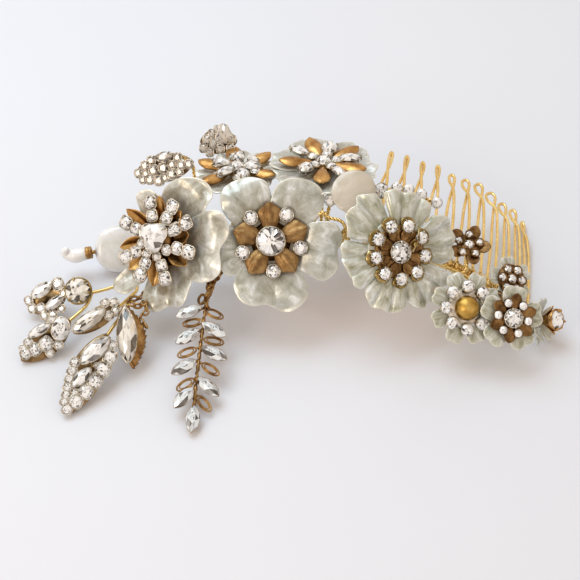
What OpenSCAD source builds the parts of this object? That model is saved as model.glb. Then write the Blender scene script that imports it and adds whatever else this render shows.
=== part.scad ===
// Bridal hair comb: an arched wire comb under a garland of pressed flowers, cut stones and pearls

/* [Comb] */
// Radius of the arched bar, to the middle of its wire
arch_radius = 47; // [46:0.5:48]
// Thickness of the arched bar
bar_wire = 1.4; // [1:0.1:1.5]
// Thickness of the wire that a tooth is bent from
tooth_wire = 0.9; // [0.7:0.1:1]
// Length of a tooth
tooth_length = 36; // [30:1:37]
// Spacing of the teeth along the bar
tooth_pitch = 4.45; // [4.2:0.05:4.5]
// How far a tooth curves in toward the head, in degrees
tooth_bend = 10; // [4:1:11]

/* [Flowers] */
// Radius of the left flower
left_radius = 16.8; // [15:0.2:17]
// Radius of the middle flower
middle_radius = 16; // [14:0.2:16.2]
// Radius of the right flower
right_radius = 14.3; // [13:0.1:14.5]
// Thickness of a pressed petal
petal_thick = 0.7; // [0.5:0.1:0.8]

/* [Stones] */
// Radius of the common round stone
stone_radius = 1.45; // [1.2:0.05:1.5]
// Gap between a stone and the cup that holds it
stone_gap = 0.12; // [0.1:0.01:0.2]
// Height of a cup for a round stone
cup_height = 1.3; // [1:0.1:1.5]

/* [Pearls] */
// Radius of the coin pearl
coin_radius = 6; // [5:0.1:6]
// Radius of the smooth shell disc
shell_radius = 5.2; // [4.8:0.1:5.4]

/* [Hidden] */

// Middle of the footprint, in the frame that the places below are measured in
footprint_middle = [2.6, -6.13, 0];

// Arch of the comb: its centre, its tilt and the angle of its last tooth from the top
arch_centre = [20.3, 2.8, -27];
arch_tilt = 3;
last_tooth_angle = 52.9;
tooth_count = 11;

// A place is a position, then a roll, a tip and a turn in degrees
left_flower = [[-28.4, -7.1, 17.5], 0, 52, -109];
middle_flower = [[-3.1, -6.7, 22], 0, 48, -77];
right_flower = [[26.3, -6.5, 24], 0, 50, -54];
rear_left_flower = [[-15.2, 10.3, 25.7], 0, 8, 120];
rear_right_flower = [[5.2, 13.9, 28.5], 0, 8, 90];
dome_flower = [[43.2, -10.1, 13], 0, 45, -65];
six_stone_flower = [[53.6, -10.6, 12.4], 0, 44, -66];
end_flower = [[60.7, -2.2, 4.7], 0, 60, -20];
cluster_flower = [[52.6, 3, 11.4], 0, 39, -48];
small_bronze_flower = [[41.8, 4.6, 18.6], 0, 23, -65];
shell_place = [[14.4, 2.6, 32], 0, 30, -80];
coin_place = [[-44.3, 0.2, 5.3], 0, 50, -62];
stick_place = [[-53.3, -4.9, 6.2], 0, 8, 197];
upper_leaf_place = [[-52.5, -16.7, 7.5], -40, 26, -157];
lower_leaf_place = [[-47.2, -26.2, 6.1], -35, 22, -132];
long_leaf_place = [[-36.4, -30.9, 8.8], -22, 24, -103];
joint_place = [[-47.6, -18.6, 7.8], 0, 40, -80];
side_leaf_place = [[-38.1, -24.2, 9.5], -35, 12, -134];
saw_leaf_place = [[-34.1, -23.9, 11], -2, 37, -69];
rear_leaf_place = [[-27.2, 15.6, 23], -56, 20, -176];
crown_leaf_place = [[-17.9, 19.8, 27], -56, 17, 171];
vine_place = [[-16.5, -16.6, 8.2], -7, 13.9, -82];

// Petals: middle angle, half width in degrees, reach as a share of the flower's radius
left_petals = [
  [220, 28, 0.82],
  [164, 38, 1.12],
  [104, 43, 1.15],
  [30, 38, 1.04],
  [331, 30, 1.05]
];
middle_petals = [
  [211, 41, 1.07],
  [146, 41, 1.08],
  [79, 42, 1.08],
  [0, 53, 1.07],
  [-81, 42, 0.79]
];

// Stones of the left flower's arms: angle of each arm, distance of its two stones
star_arms = [209, 171, 138, 94, 36, 352, 315, 262];
star_stone_reach = [6, 9.1];
star_height = 4;
star_arm_thick = 0.8;

// Long stones and leaf loops of the vine: along, across, heading
vine_navettes = [
  [3.5, -4, -59],
  [10, -3.5, -49],
  [17.9, -3.5, -50],
  [25.5, -2.6, -34],
  [7.4, 2.3, 64],
  [13.6, 3, 68],
  [22.2, 2.6, 52],
  [30.4, 0, 0]
];
vine_loops = [
  [2.7, 1.9, 70],
  [9.9, 2.6, 84],
  [17.2, 2.6, 59],
  [25.9, 2, 44],
  [5.7, -2.8, -70],
  [13.6, -3.2, -58],
  [21.7, -2.6, -48]
];

// Round stones on each leaf: along, across, radius
upper_leaf_rounds = [
  [0.7, -0.3, 1.3],
  [9.3, 0, 0.8],
  [9.3, 2.1, 0.85],
  [7.2, 3, 0.85],
  [7.2, 4.85, 0.8],
  [5, 5.7, 0.8]
];
lower_leaf_rounds = [
  [8, 0.8, 1.45],
  [10.8, 0.2, 1.25],
  [13.1, -0.5, 1],
  [10.9, -2.1, 0.8],
  [6, 2.9, 0.8]
];
long_leaf_rounds = [
  [5, 3.1, 1.3],
  [8.3, 3, 1.4],
  [11.4, 2.5, 1.4],
  [14.5, 1.7, 1.35],
  [17.5, 0.7, 1.25],
  [19.8, -0.3, 0.95],
  [9.5, -3.4, 0.85],
  [12.5, -3, 0.85],
  [14.8, -2.5, 0.85],
  [16.6, -2, 0.8],
  [18.4, -1.6, 0.7]
];
side_leaf_rounds = [
  [0.1, -1.5, 0.85],
  [-1.7, -0.5, 0.85],
  [-0.9, 1.5, 0.85],
  [1, 1.5, 0.85]
];
rear_leaf_rounds = [
  [15.4, -0.9, 0.8],
  [13, -2.4, 0.9],
  [11.1, -3.4, 0.9],
  [3.9, -2.8, 0.9],
  [1.3, -0.6, 0.9],
  [3.3, -0.8, 0.9],
  [5.8, -1.3, 0.8],
  [8.2, -0.9, 1.15],
  [11, -0.9, 1.1],
  [4.2, 0.8, 0.7],
  [6.3, 1, 1.1],
  [10.2, 1.9, 1.1],
  [12.5, 1.2, 1],
  [14.5, 0.9, 0.8]
];
crown_leaf_rounds = [
  [6, -3.4, 0.8],
  [7.5, -1.9, 1],
  [8.6, 0.1, 0.9],
  [5.6, -0.8, 1],
  [6.8, 1.2, 0.9],
  [3.7, 0.4, 1],
  [0.9, 0.3, 0.9]
];

function unit(v) = v / norm(v);

// Rotations of a point, in the order in which a place applies them
function rolled(v, a) = [v[0], v[1]*cos(a) - v[2]*sin(a), v[1]*sin(a) + v[2]*cos(a)];
function tipped(v, a) = [v[0]*cos(a) + v[2]*sin(a), v[1], v[2]*cos(a) - v[0]*sin(a)];
function turned(v, a) = [v[0]*cos(a) - v[1]*sin(a), v[0]*sin(a) + v[1]*cos(a), v[2]];
function spot(place, v) =
  place[0] + turned(tipped(rolled(v, place[1]), place[2]), place[3]);

// A point beside the arch: angle from its top, distance along the teeth, distance from its centre
function arch_point(angle, along, radius) =
  arch_centre + rolled([radius*sin(angle), along, radius*cos(angle)], arch_tilt);

module put(place) {
  translate(place[0])
    rotate([place[1], place[2], place[3]])
      children();
}

module in_frame() {
  translate(-footprint_middle)
    children();
}

// Round wire swept along a path, with flat ends
function heading(path, i) =
  unit(path[min(i + 1, len(path) - 1)] - path[max(i - 1, 0)]);
function wire_ring(p, along, up, r, sides) =
  let (side = unit(cross(along, up)), lift = cross(side, along))
  [for (j = [0:sides - 1]) let (a = 360*j/sides) p + r*(cos(a)*side + sin(a)*lift)];

module wire(path, r, up = [0, 0, 1], sides = 5) {
  last = len(path) - 1;
  rings = [for (i = [0:last]) each wire_ring(path[i], heading(path, i), up, r, sides)];
  walls = [
    for (i = [0:last - 1], j = [0:sides - 1])
      let (a = i*sides + j, b = i*sides + (j + 1) % sides)
      each [[a, b, b + sides], [a, b + sides, a + sides]]
  ];
  ends = [
    [for (j = [sides - 1:-1:0]) j],
    [for (j = [0:sides - 1]) last*sides + j]
  ];
  polyhedron(rings, concat(walls, ends));
}

// Outlines, drawn anticlockwise: round, pointed oval, drop and rounded triangle
function round_outline(r, count = 8) =
  [for (i = [0:count - 1]) let (a = 360*(i + 0.5)/count) r*[cos(a), sin(a)]];
function oval_outline(long, wide, count = 8) =
  [for (i = [0:count - 1]) let (a = 360*i/count, s = sin(a))
    [long/2*cos(a), wide/2*sign(s)*pow(abs(s), 1.5)]];
function drop_outline(long, wide, count = 8) =
  [for (i = [0:count - 1]) let (a = 360*i/count)
    [long/2*cos(a), wide/2*sin(a)*(1 - 0.45*cos(a))]];
function triangle_outline(r, count = 9) =
  [for (i = [0:count - 1]) let (a = 360*i/count) r*(1 + 0.16*cos(3*a))*[cos(a), sin(a)]];

// Cut stone on any outline: flat table, sloping crown and a pointed back
module cut_stone(outline, crown = 0.6, back = 0.5, table = 0.58) {
  n = len(outline);
  points = concat(
    [for (p = outline) [p[0]*table, p[1]*table, crown]],
    [for (p = outline) [p[0], p[1], 0]],
    [[0, 0, -back]]
  );
  top = [[for (i = [n - 1:-1:0]) i]];
  sides = [for (i = [0:n - 1]) let (j = (i + 1) % n) [i, j, n + j, n + i]];
  under = [for (i = [0:n - 1]) let (j = (i + 1) % n) [n + i, n + j, 2*n]];
  polyhedron(points, concat(top, sides, under));
}

module round_stone(r) {
  cut_stone(round_outline(r), crown = 0.42*r, back = 0.35*r);
}

module navette(long, wide) {
  cut_stone(oval_outline(long, wide), crown = 0.3*wide, back = 0.25*wide);
}

module oval_stone(long, wide) {
  scale([long/wide, 1, 1])
    round_stone(wide/2);
}

// Cup for a round stone, with its floor a little below the stone's point
function cup_floor(r) = cup_height - 0.35*r - stone_gap;
function seat_height(r) = cup_floor(r) + stone_gap + 0.35*r;

module cup(r) {
  difference() {
    cylinder(r = r + 0.35, h = cup_height, $fn = 10);
    translate([0, 0, cup_floor(r)])
      cylinder(r = r + stone_gap, h = cup_height, $fn = 10);
  }
}

module cup_ring(count, radius, start, r) {
  for (i = [0:count - 1])
    rotate(start + 360*i/count)
      translate([radius, 0, 0])
        cup(r);
}

module stone_ring(count, radius, start, r) {
  for (i = [0:count - 1])
    rotate(start + 360*i/count)
      translate([radius, 0, 0])
        round_stone(r);
}

// Gold work stands this far above the back of the bloom under it
function gold_level(clear) = petal_thick + clear;

// Even petals of a bloom, in the columns of a petal table
function even_petals(count, first, half) =
  [for (i = [0:count - 1]) [first + 360*i/count, half, 1]];

// Share of the radius that a petal reaches at an angle; bumps is its number of scallops
function angle_between(a, b) = abs((a - b + 900) % 360 - 180);
function bump(x, bumps) =
  bumps % 2 == 0 ? abs(sin(90*bumps*x)) : abs(cos(90*bumps*x));
function petal_reach(a, petal, bumps, frill) =
  let (x = angle_between(a, petal[0])/petal[1])
  x >= 1 ? 0 : petal[2]*sqrt(1 - pow(x, 3))*(1 - frill*(1 - bump(x, bumps)));
function bloom_reach(a, petals, bumps, frill, core) =
  max(concat([core], [for (p = petals) petal_reach(a, p, bumps, frill)]));

// Pressed bloom: a thin disc cupped to its rim, with petals, scallops and a soft ruffle
module bloom(petals, radius, cup, steps, first = 0, bumps = 1, frill = 0, ruffle = 0,
             waves = 5, core = 0.35, rings = 4) {
  angles = [for (j = [0:steps - 1]) first + 360*j/steps];
  shares = [for (k = [1:rings]) pow(k/rings, 0.8)];
  reaches = [for (a = angles) radius*bloom_reach(a, petals, bumps, frill, core)];
  function height(t, j) =
    let (r = t*reaches[j]/radius) cup*r*r + ruffle*r*r*cos(waves*angles[j]);
  function level(drop) = [
    for (t = shares, j = [0:steps - 1])
      [t*reaches[j]*cos(angles[j]), t*reaches[j]*sin(angles[j]), height(t, j) - drop]
  ];
  points = concat([[0, 0, petal_thick], [0, 0, 0]], level(-petal_thick), level(0));
  under = steps*rings;
  function at(k, j) = 2 + k*steps + j % steps;
  top_fan = [for (j = [0:steps - 1]) [0, at(0, j + 1), at(0, j)]];
  low_fan = [for (j = [0:steps - 1]) [1, at(0, j) + under, at(0, j + 1) + under]];
  top_skin = [
    for (k = [0:rings - 2], j = [0:steps - 1]) each
      [[at(k, j), at(k, j + 1), at(k + 1, j + 1)], [at(k, j), at(k + 1, j + 1), at(k + 1, j)]]
  ];
  low_skin = [for (f = top_skin) [f[0] + under, f[2] + under, f[1] + under]];
  edge = [
    for (j = [0:steps - 1]) let (a = at(rings - 1, j), b = at(rings - 1, j + 1)) each
      [[a, b, b + under], [a, b + under, a + under]]
  ];
  polyhedron(points, concat(top_fan, low_fan, top_skin, low_skin, edge));
}

// Pointed gold leaf lying flat, from its root at the origin
module gold_leaf(long, wide, thick) {
  translate([long/2, 0, 0])
    linear_extrude(thick)
      polygon(oval_outline(long, wide, 10));
}

// Arched bar of the comb
module comb_bar() {
  span = tooth_pitch*(tooth_count - 1)/arch_radius*180/PI;
  over = 1.2;
  color("goldenrod")
    in_frame()
      translate(arch_centre)
        rotate([arch_tilt + 90, 0, 0])
          rotate([0, 0, 90 - last_tooth_angle - over])
            rotate_extrude(angle = span + 2*over, $fn = 96)
              translate([arch_radius, 0])
                circle(d = bar_wire, $fn = 24);
}

// A tooth starts this far beyond the bar's surface
root_overlap = 0.15;

// Half of a tooth: share of the length, distance from the middle, lift at the crossing
tooth_stations = [
  [0, 1.2, 0],
  [0.4, 0.75, 0],
  [0.64, 0.38, 0.4],
  [0.78, 0, 0.52],
  [0.88, -0.5, 0.2],
  [0.96, -0.5, 0]
];

// Length of each tooth as a share of the full one, as bent by hand
tooth_shares = [0.99, 0.97, 0.94, 0.95, 0.91, 0.93, 0.97, 0.965, 0.945, 0.985, 0.96];

function tooth_point(angle, length, share, side, lift) =
  let (
    turn = tooth_bend*share,
    bend = tooth_bend*PI/180,
    along = bar_wire/2 + root_overlap + length*sin(turn)/bend,
    radius = arch_radius - length*(1 - cos(turn))/bend + lift
  )
  arch_centre + rolled([
    side*cos(angle) + radius*sin(angle),
    along,
    radius*cos(angle) - side*sin(angle)
  ], arch_tilt);

// A tooth is one wire bent double, its legs crossing below the eye at its tip
module tooth(number) {
  angle = last_tooth_angle - (tooth_count - number)*tooth_pitch/arch_radius*180/PI;
  length = tooth_length*tooth_shares[number - 1];
  first_leg = [for (s = tooth_stations) tooth_point(angle, length, s[0], s[1], s[2])];
  tip = [tooth_point(angle, length, 1, 0, 0)];
  other_leg = [
    for (i = [len(tooth_stations) - 1:-1:0]) let (s = tooth_stations[i])
      tooth_point(angle, length, s[0], -s[1], -s[2])
  ];
  outward = unit(arch_point(angle, 0, arch_radius) - arch_centre);
  color("gold")
    in_frame()
      wire(concat(first_leg, tip, other_leg), tooth_wire/2, outward, 5);
}

// Wire that carries every flower and leaf: a bow beside the bar, then stems to each piece
bow_side = -1.75;
bow_radius = 0.75;
bow_angles = [54:-6:-6];
bow_left_part = [
  [7.5, -1.5, 18],
  [0, -1.4, 16.3],
  [-8, -1.4, 14.3],
  [-16, -1.6, 12.4],
  [-24, -1.4, 10.8],
  [-30, -3.5, 8.6],
  [-35, -8, 6.8],
  [-40, -13.5, 6.4],
  [-45.5, -17.6, 6.7],
  [-47.4, -18.3, 7.3]
];

stem_radius = 0.55;

module stem(path) {
  wire(path, stem_radius, [1, 0.3, 0.1], 5);
}

// A stem meets a flower square to its back, and lies along the back of a leaf
module flower_stem(place, straight, path) {
  stem(concat([spot(place, [0, 0, -stone_gap]), spot(place, [0, 0, -straight])], path));
}

module leaf_stem(place, start, path) {
  stem(concat([spot(place, [start, 0, -stem_radius - stone_gap])], path));
}

module wire_frame() {
  bow = concat(
    [for (a = bow_angles) arch_point(a, bow_side, arch_radius)],
    bow_left_part
  );
  color("peru")
    in_frame() {
      wire(bow, bow_radius, [0, 1, 0], 6);
      flower_stem(left_flower, 4, [[-27.4, -2.4, 9.6]]);
      flower_stem(middle_flower, 4, [[-4.2, -1.4, 15.4]]);
      flower_stem(right_flower, 3, [[23.8, -1.4, 19.8]]);
      flower_stem(rear_left_flower, 2, [[-15.3, 7.2, 19.6], [-15, 3, 15.4], [-14.6, -1.6, 12.8]]);
      flower_stem(rear_right_flower, 2, [[5.6, 11.2, 22.6], [6.6, 5, 19.2], [7.4, -1.5, 18.2]]);
      flower_stem(dome_flower, 2.4, [[43.6, -0.9, 13.4]]);
      flower_stem(six_stone_flower, 3, [[53.4, -0.9, 6.3]]);
      flower_stem(end_flower, 1.6, [[57.2, -0.6, 2.2]]);
      flower_stem(cluster_flower, 1.2, [[52.3, 2.4, 9.6], [52.2, 1, 9.35], [52, -0.8, 8.3]]);
      flower_stem(small_bronze_flower, 1.2, [[42.2, -0.4, 16.6], [41.2, -0.9, 15.2]]);
      flower_stem(shell_place, 2, [[14, 1, 25], [14.2, -1.4, 19.4]]);
      stem([spot(coin_place, [0, 3, -2.75]), spot(coin_place, [0, 3, -3.6]),
            spot(coin_place, [0, 7.4, -2.4]), [-36.4, -2, 6.3], [-35, -8, 6.8]]);
      leaf_stem(upper_leaf_place, 1, [[-45.5, -17.6, 6.7]]);
      leaf_stem(lower_leaf_place, 1.2, [[-45.2, -21.5, 6.2], [-45, -17.4, 6.7]]);
      leaf_stem(long_leaf_place, 2, [[-35.6, -24, 7.4], [-35.2, -17, 7], [-35, -13.5, 6.2],
                                     [-36.4, -9.6, 6.6]]);
      leaf_stem(side_leaf_place, 0, [[-37, -20.4, 6.9], [-35.2, -15, 6.4]]);
      leaf_stem(saw_leaf_place, 1.4, [[-34.6, -20, 8], [-35.2, -17, 7]]);
      leaf_stem(rear_leaf_place, 1, [[-25.6, 9, 16.4], [-24.6, 3, 12.4], [-24, -1.4, 10.8]]);
      leaf_stem(crown_leaf_place, 1, [[-16.6, 15, 21.4], [-15.4, 8, 19.8]]);
      stem([[-16.4, -12.2, 10.4], [-16.4, -7, 11], [-16, -1.6, 12.4]]);
      stem([[20.6, -1.5, 19.9], [20.9, 4, 25.6], [20.6, 7.2, 28.9], [23.6, 8.8, 29.6],
            [28.6, 9.6, 27.9], [33, 9.8, 26]]);
      stem([[9, 3, 28.1], [8.4, 1.6, 24], [8, -1.4, 18.4]]);
      put(joint_place)
        joint_cup();
    }
}

// Cup of the large stone where the two left leaves join
joint_radius = 2.9;
joint_back = 1.1;
joint_depth = 2;
joint_wall = 0.5;
joint_floor = 0.8;

module joint_cup() {
  difference() {
    cylinder(r = joint_radius + joint_wall, h = joint_depth, $fn = 16);
    translate([0, 0, joint_floor])
      cylinder(r = joint_radius + stone_gap, h = joint_depth, $fn = 16);
  }
}

// Left flower: five cupped petals, a raised star of eight arms with gold leaves, paired stones
module left_flower_petals() {
  color("beige")
    in_frame()
      put(left_flower)
        bloom(left_petals, left_radius, 4.2, 54, bumps = 2, frill = 0.1, ruffle = 0.5);
}

module left_flower_star() {
  arm_long = 9.3;
  arm_width = 2.4;
  post_radius = 1.4;
  folded_leaf_thick = 0.5;
  folded_leaf_lag = 17;
  hub_radius = 3.6;
  color("peru")
    in_frame()
      put(left_flower) {
        translate([0, 0, gold_level(0.15)])
          cylinder(r = post_radius, h = star_height - petal_thick, $fn = 12);
        translate([0, 0, star_height])
          cylinder(r = hub_radius, h = star_arm_thick, $fn = 12);
        for (a = star_arms) {
          rotate(a)
            translate([1, -arm_width/2, star_height])
              cube([arm_long, arm_width, star_arm_thick]);
          rotate(a - folded_leaf_lag)
            translate([2, 0, star_height + 0.1 - folded_leaf_thick])
              gold_leaf(9.4, 3, folded_leaf_thick);
        }
      }
}

module left_flower_stones() {
  seat = star_height + star_arm_thick + stone_gap + 0.5;
  inner_radius = stone_radius - 0.2;
  color("white")
    in_frame()
      put(left_flower) {
        for (a = star_arms, r = star_stone_reach)
          rotate(a)
            translate([r, 0, seat])
              round_stone(r == star_stone_reach[0] ? inner_radius : stone_radius);
        translate([-0.9, -0.5, seat + 0.4])
          rotate(20)
            cut_stone(triangle_outline(2.6), crown = 1.3, back = 0.9);
        translate([0.9, 3.2, seat])
          round_stone(1.1);
      }
}

// Middle flower: five broad petals, five ridged gold petals and small stones round a large one
middle_stone_radius = 3.15;
middle_stone_back = 1.1;
middle_cup_floor = 0.8;
middle_ring = 7;
middle_ring_start = 4;
middle_clear = 0.8;

module ridged_kite(long, wide, thick, rise) {
  x = [0, 0.45*long, long, 0.45*long];
  y = [0, wide/2, 0, -wide/2];
  points = concat(
    [for (i = [0:3]) [x[i], -y[i], 0]],
    [for (i = [0:3]) [x[i], -y[i], thick]],
    [[0.3*long, 0, thick + rise], [0.62*long, 0, thick + rise]]
  );
  polyhedron(points, [
    [0, 1, 2, 3],
    [0, 4, 5, 1], [1, 5, 6, 2], [2, 6, 7, 3], [3, 7, 4, 0],
    [4, 8, 5], [5, 8, 9], [5, 9, 6], [6, 9, 7], [7, 9, 8], [7, 8, 4]
  ]);
}

module middle_flower_petals() {
  color("beige")
    in_frame()
      put(middle_flower)
        bloom(middle_petals, middle_radius, 1.4, 54, bumps = 2, frill = 0.07, ruffle = 0.4);
}

module middle_flower_star() {
  color("peru")
    in_frame()
      put(middle_flower)
        translate([0, 0, gold_level(middle_clear)]) {
          translate([0, 0, 0.1 - middle_clear])
            cylinder(r = 2, h = middle_clear, $fn = 12);
          difference() {
            cylinder(r = middle_stone_radius + 0.6, h = 2, $fn = 12);
            translate([0, 0, middle_cup_floor])
              cylinder(r = middle_stone_radius + stone_gap, h = 2, $fn = 12);
          }
          for (i = [0:4]) {
            rotate(38 + 72*i)
              translate([2.6, 0, 0.1])
                ridged_kite(7, 5.2, 0.6, 1);
            rotate(middle_ring_start + 72*i)
              translate([middle_ring, 0, 0])
                cup(stone_radius);
          }
        }
}

module middle_flower_stones() {
  color("white")
    in_frame()
      put(middle_flower)
        translate([0, 0, gold_level(middle_clear)]) {
          translate([0, 0, middle_cup_floor + stone_gap + middle_stone_back])
            cut_stone(round_outline(middle_stone_radius, 12), crown = 1.3, back = middle_stone_back);
          translate([0, 0, seat_height(stone_radius)])
            stone_ring(5, middle_ring, middle_ring_start, stone_radius);
        }
}

// Right flower: six ribbed petals parted by slits, nine cups round the middle stone
right_centre_radius = 2.3;
right_ring = 6.1;
right_ring_start = 26;
right_clear = 0.1;

module right_flower_petals() {
  color("lightgray")
    in_frame()
      put(right_flower)
        bloom(even_petals(6, 28, 29), right_radius, -0.9, 72, first = -2, bumps = 3,
              frill = 0.06, core = 0.5);
}

module right_flower_cups() {
  color("peru")
    in_frame()
      put(right_flower)
        translate([0, 0, gold_level(right_clear)]) {
          difference() {
            cylinder(r = right_ring - 0.5, h = 0.5, $fn = 12);
            translate([0, 0, -1])
              cylinder(r = 1, h = 3, $fn = 12);
          }
          cup(right_centre_radius);
          cup_ring(9, right_ring, right_ring_start, stone_radius);
        }
}

module right_flower_stones() {
  color("white")
    in_frame()
      put(right_flower)
        translate([0, 0, gold_level(right_clear)]) {
          translate([0, 0, seat_height(right_centre_radius)])
            round_stone(right_centre_radius);
          translate([0, 0, seat_height(stone_radius)])
            stone_ring(9, right_ring, right_ring_start, stone_radius);
        }
}

// Rear flowers lie on top of the garland: gold drop petals over ribbed ones
rear_left_radius = 9.5;
rear_right_radius = 13.2;
rear_clear = 0.5;
rear_left_centre = 1.6;
rear_right_centre = 1.7;
rear_left_leaf_thick = 0.9;

// Angles of the right one's gold leaves and of the long stones between them
rear_right_leaves = [30, 106, 187, 260, 319];
rear_right_navettes = [68, 146, 224, 290, 355];

module rear_left_petals() {
  color("beige")
    in_frame()
      put(rear_left_flower)
        bloom(even_petals(6, 20, 33), rear_left_radius, 0.6, 36, bumps = 2, frill = 0.06, rings = 3);
}

module rear_left_gold() {
  color("peru")
    in_frame()
      put(rear_left_flower)
        translate([0, 0, gold_level(rear_clear)]) {
          translate([0, 0, 0.1 - rear_clear])
            cylinder(r = 1.4, h = rear_clear, $fn = 12);
          cup(rear_left_centre);
          for (i = [0:5])
            rotate(50 + 60*i)
              translate([1.2, 0, 0])
                gold_leaf(7.4, 3.4, rear_left_leaf_thick);
        }
}

module rear_left_stones() {
  color("white")
    in_frame()
      put(rear_left_flower)
        translate([0, 0, gold_level(rear_clear)]) {
          translate([0, 0, seat_height(rear_left_centre)])
            round_stone(rear_left_centre);
          translate([0, 0, rear_left_leaf_thick + stone_gap + 0.5])
            stone_ring(6, 5, 50, 1.2);
        }
}

module rear_right_petals() {
  color("beige")
    in_frame()
      put(rear_right_flower)
        bloom(even_petals(6, 30, 33), rear_right_radius, 0.6, 42, bumps = 2, frill = 0.06, rings = 3);
}

module rear_right_gold() {
  color("peru")
    in_frame()
      put(rear_right_flower)
        translate([0, 0, gold_level(rear_clear)]) {
          translate([0, 0, 0.1 - rear_clear])
            cylinder(r = 1.4, h = rear_clear, $fn = 12);
          cup(rear_right_centre);
          for (a = rear_right_leaves)
            rotate(a)
              translate([1.4, 0, 0])
                gold_leaf(8.6, 3.8, 1);
        }
}

module rear_right_stones() {
  on_petal = 1.3;
  color("white")
    in_frame()
      put(rear_right_flower)
        translate([0, 0, gold_level(rear_clear)]) {
          translate([0, 0, seat_height(rear_right_centre)])
            round_stone(rear_right_centre);
          for (a = rear_right_navettes)
            rotate(a)
              translate([6.6, 0, on_petal])
                navette(4.6, 2.4);
        }
}

// Dome flower: a plain gold dome in a ring of eight cups over eight round petals
dome_clear = 0.25;
dome_ring = 5;
dome_ring_start = 34;
dome_stone_radius = 1.3;

module dome_flower_petals() {
  color("lightgray")
    in_frame()
      put(dome_flower)
        bloom(even_petals(8, 12, 23), 8.6, 0.2, 48, rings = 3);
}

module dome_flower_dome() {
  dome_radius = 2.9;
  color("goldenrod")
    in_frame()
      put(dome_flower)
        translate([0, 0, gold_level(dome_clear)]) {
          cylinder(r = 4.4, h = 0.5, $fn = 16);
          intersection() {
            translate([0, 0, 0.2])
              sphere(r = dome_radius, $fn = 48);
            cylinder(r = dome_radius + 1, h = dome_radius + 1, $fn = 16);
          }
          cup_ring(8, dome_ring, dome_ring_start, dome_stone_radius);
        }
}

module dome_flower_stones() {
  color("white")
    in_frame()
      put(dome_flower)
        translate([0, 0, gold_level(dome_clear) + seat_height(dome_stone_radius)])
          stone_ring(8, dome_ring, dome_ring_start, dome_stone_radius);
}

// Six stone flower: small stones round one, over five rounded petals
six_clear = 0.25;
six_centre_radius = 1.75;
six_ring = 3.6;
six_ring_start = 10;
six_stone_radius = 0.9;

module six_stone_petals() {
  color("lightgray")
    in_frame()
      put(six_stone_flower)
        bloom(even_petals(5, 306, 38), 7.6, 0.3, 40, rings = 3, core = 0.45);
}

module six_stone_cups() {
  color("peru")
    in_frame()
      put(six_stone_flower)
        translate([0, 0, gold_level(six_clear)]) {
          cylinder(r = six_ring, h = 0.5, $fn = 12);
          cup(six_centre_radius);
          cup_ring(6, six_ring, six_ring_start, six_stone_radius);
        }
}

module six_stone_stones() {
  color("white")
    in_frame()
      put(six_stone_flower)
        translate([0, 0, gold_level(six_clear)]) {
          translate([0, 0, seat_height(six_centre_radius)])
            round_stone(six_centre_radius);
          translate([0, 0, seat_height(six_stone_radius)])
            stone_ring(6, six_ring, six_ring_start, six_stone_radius);
        }
}

// End flower, seen from its side: a gold cone holding one stone, a frill of petals behind it
cone_height = 4;
cone_recess = 1;
end_clear = 0.2;
end_stone_radius = 1.95;
end_stone_back = 0.7;

module end_flower_petals() {
  color("lightgray")
    in_frame()
      put(end_flower)
        bloom(even_petals(5, 0, 35), 5.4, 1.4, 30, rings = 3);
}

module end_flower_cup() {
  color("goldenrod")
    in_frame()
      put(end_flower)
        translate([0, 0, gold_level(end_clear)])
          difference() {
            cylinder(r1 = 1, r2 = 2.7, h = cone_height, $fn = 32);
            translate([0, 0, cone_height - cone_recess])
              cylinder(r = end_stone_radius + stone_gap, h = 2*cone_recess, $fn = 32);
          }
}

module end_flower_stone() {
  color("white")
    in_frame()
      put(end_flower)
        translate([0, 0, gold_level(end_clear) + cone_height - cone_recess + stone_gap + end_stone_back])
          cut_stone(round_outline(end_stone_radius), crown = 0.8, back = end_stone_back);
}

// Stones of the two small flowers stand on a pad; their points reach this far down
tiny_back = 0.4;
cluster_pad = 0.5;
bronze_pad = 0.4;

// Cluster: round petals under a ring of tiny stones
module cluster_petals() {
  color("lightgray")
    in_frame()
      put(cluster_flower) {
        bloom(even_petals(5, 20, 34), 5.6, 0.3, 30, rings = 2);
        translate([0, 0, petal_thick - 0.1])
          cylinder(r = 3.6, h = cluster_pad, $fn = 12);
      }
}

module cluster_stones() {
  color("white")
    in_frame()
      put(cluster_flower)
        translate([0, 0, petal_thick - 0.1 + cluster_pad + stone_gap + tiny_back]) {
          round_stone(1.1);
          stone_ring(6, 2.6, 0, 0.95);
        }
}

module bronze_flower() {
  color("sienna")
    in_frame()
      put(small_bronze_flower) {
        bloom(even_petals(5, 0, 34), 5, 0.8, 30, rings = 2);
        translate([0, 0, petal_thick - 0.1])
          cylinder(r = 3.2, h = bronze_pad, $fn = 12);
      }
}

module bronze_flower_stones() {
  color("white")
    in_frame()
      put(small_bronze_flower)
        translate([0, 0, petal_thick - 0.1 + bronze_pad + stone_gap + tiny_back]) {
          round_stone(1.1);
          stone_ring(5, 2.6, 20, 0.8);
        }
}

// Pearls and shell
module coin_pearl() {
  half = 2.6;
  steps = 10;
  profile = concat(
    [[0, -half]],
    [for (i = [1:steps - 1]) let (a = -90 + 180*i/steps)
      [(coin_radius - half) + half*cos(a), half*sin(a)]],
    [[0, half]]
  );
  color("ivory")
    in_frame()
      put(coin_place)
        rotate_extrude($fn = 48)
          polygon(profile);
}

module stick_pearl() {
  long = 5.4;
  r = 2.1;
  cap_long = 1;
  color("ivory")
    in_frame()
      put(stick_place)
        rotate([0, 90, 0]) {
          translate([0, 0, -long/2])
            cylinder(r = r, h = long, $fn = 32);
          translate([0, 0, -long/2 - cap_long])
            cylinder(r = 1.3, h = cap_long + 0.1, $fn = 32);
        }
}

module shell_disc() {
  color("linen")
    in_frame()
      put(shell_place)
        cylinder(r = shell_radius, h = 1.2, $fn = 48);
}

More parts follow.
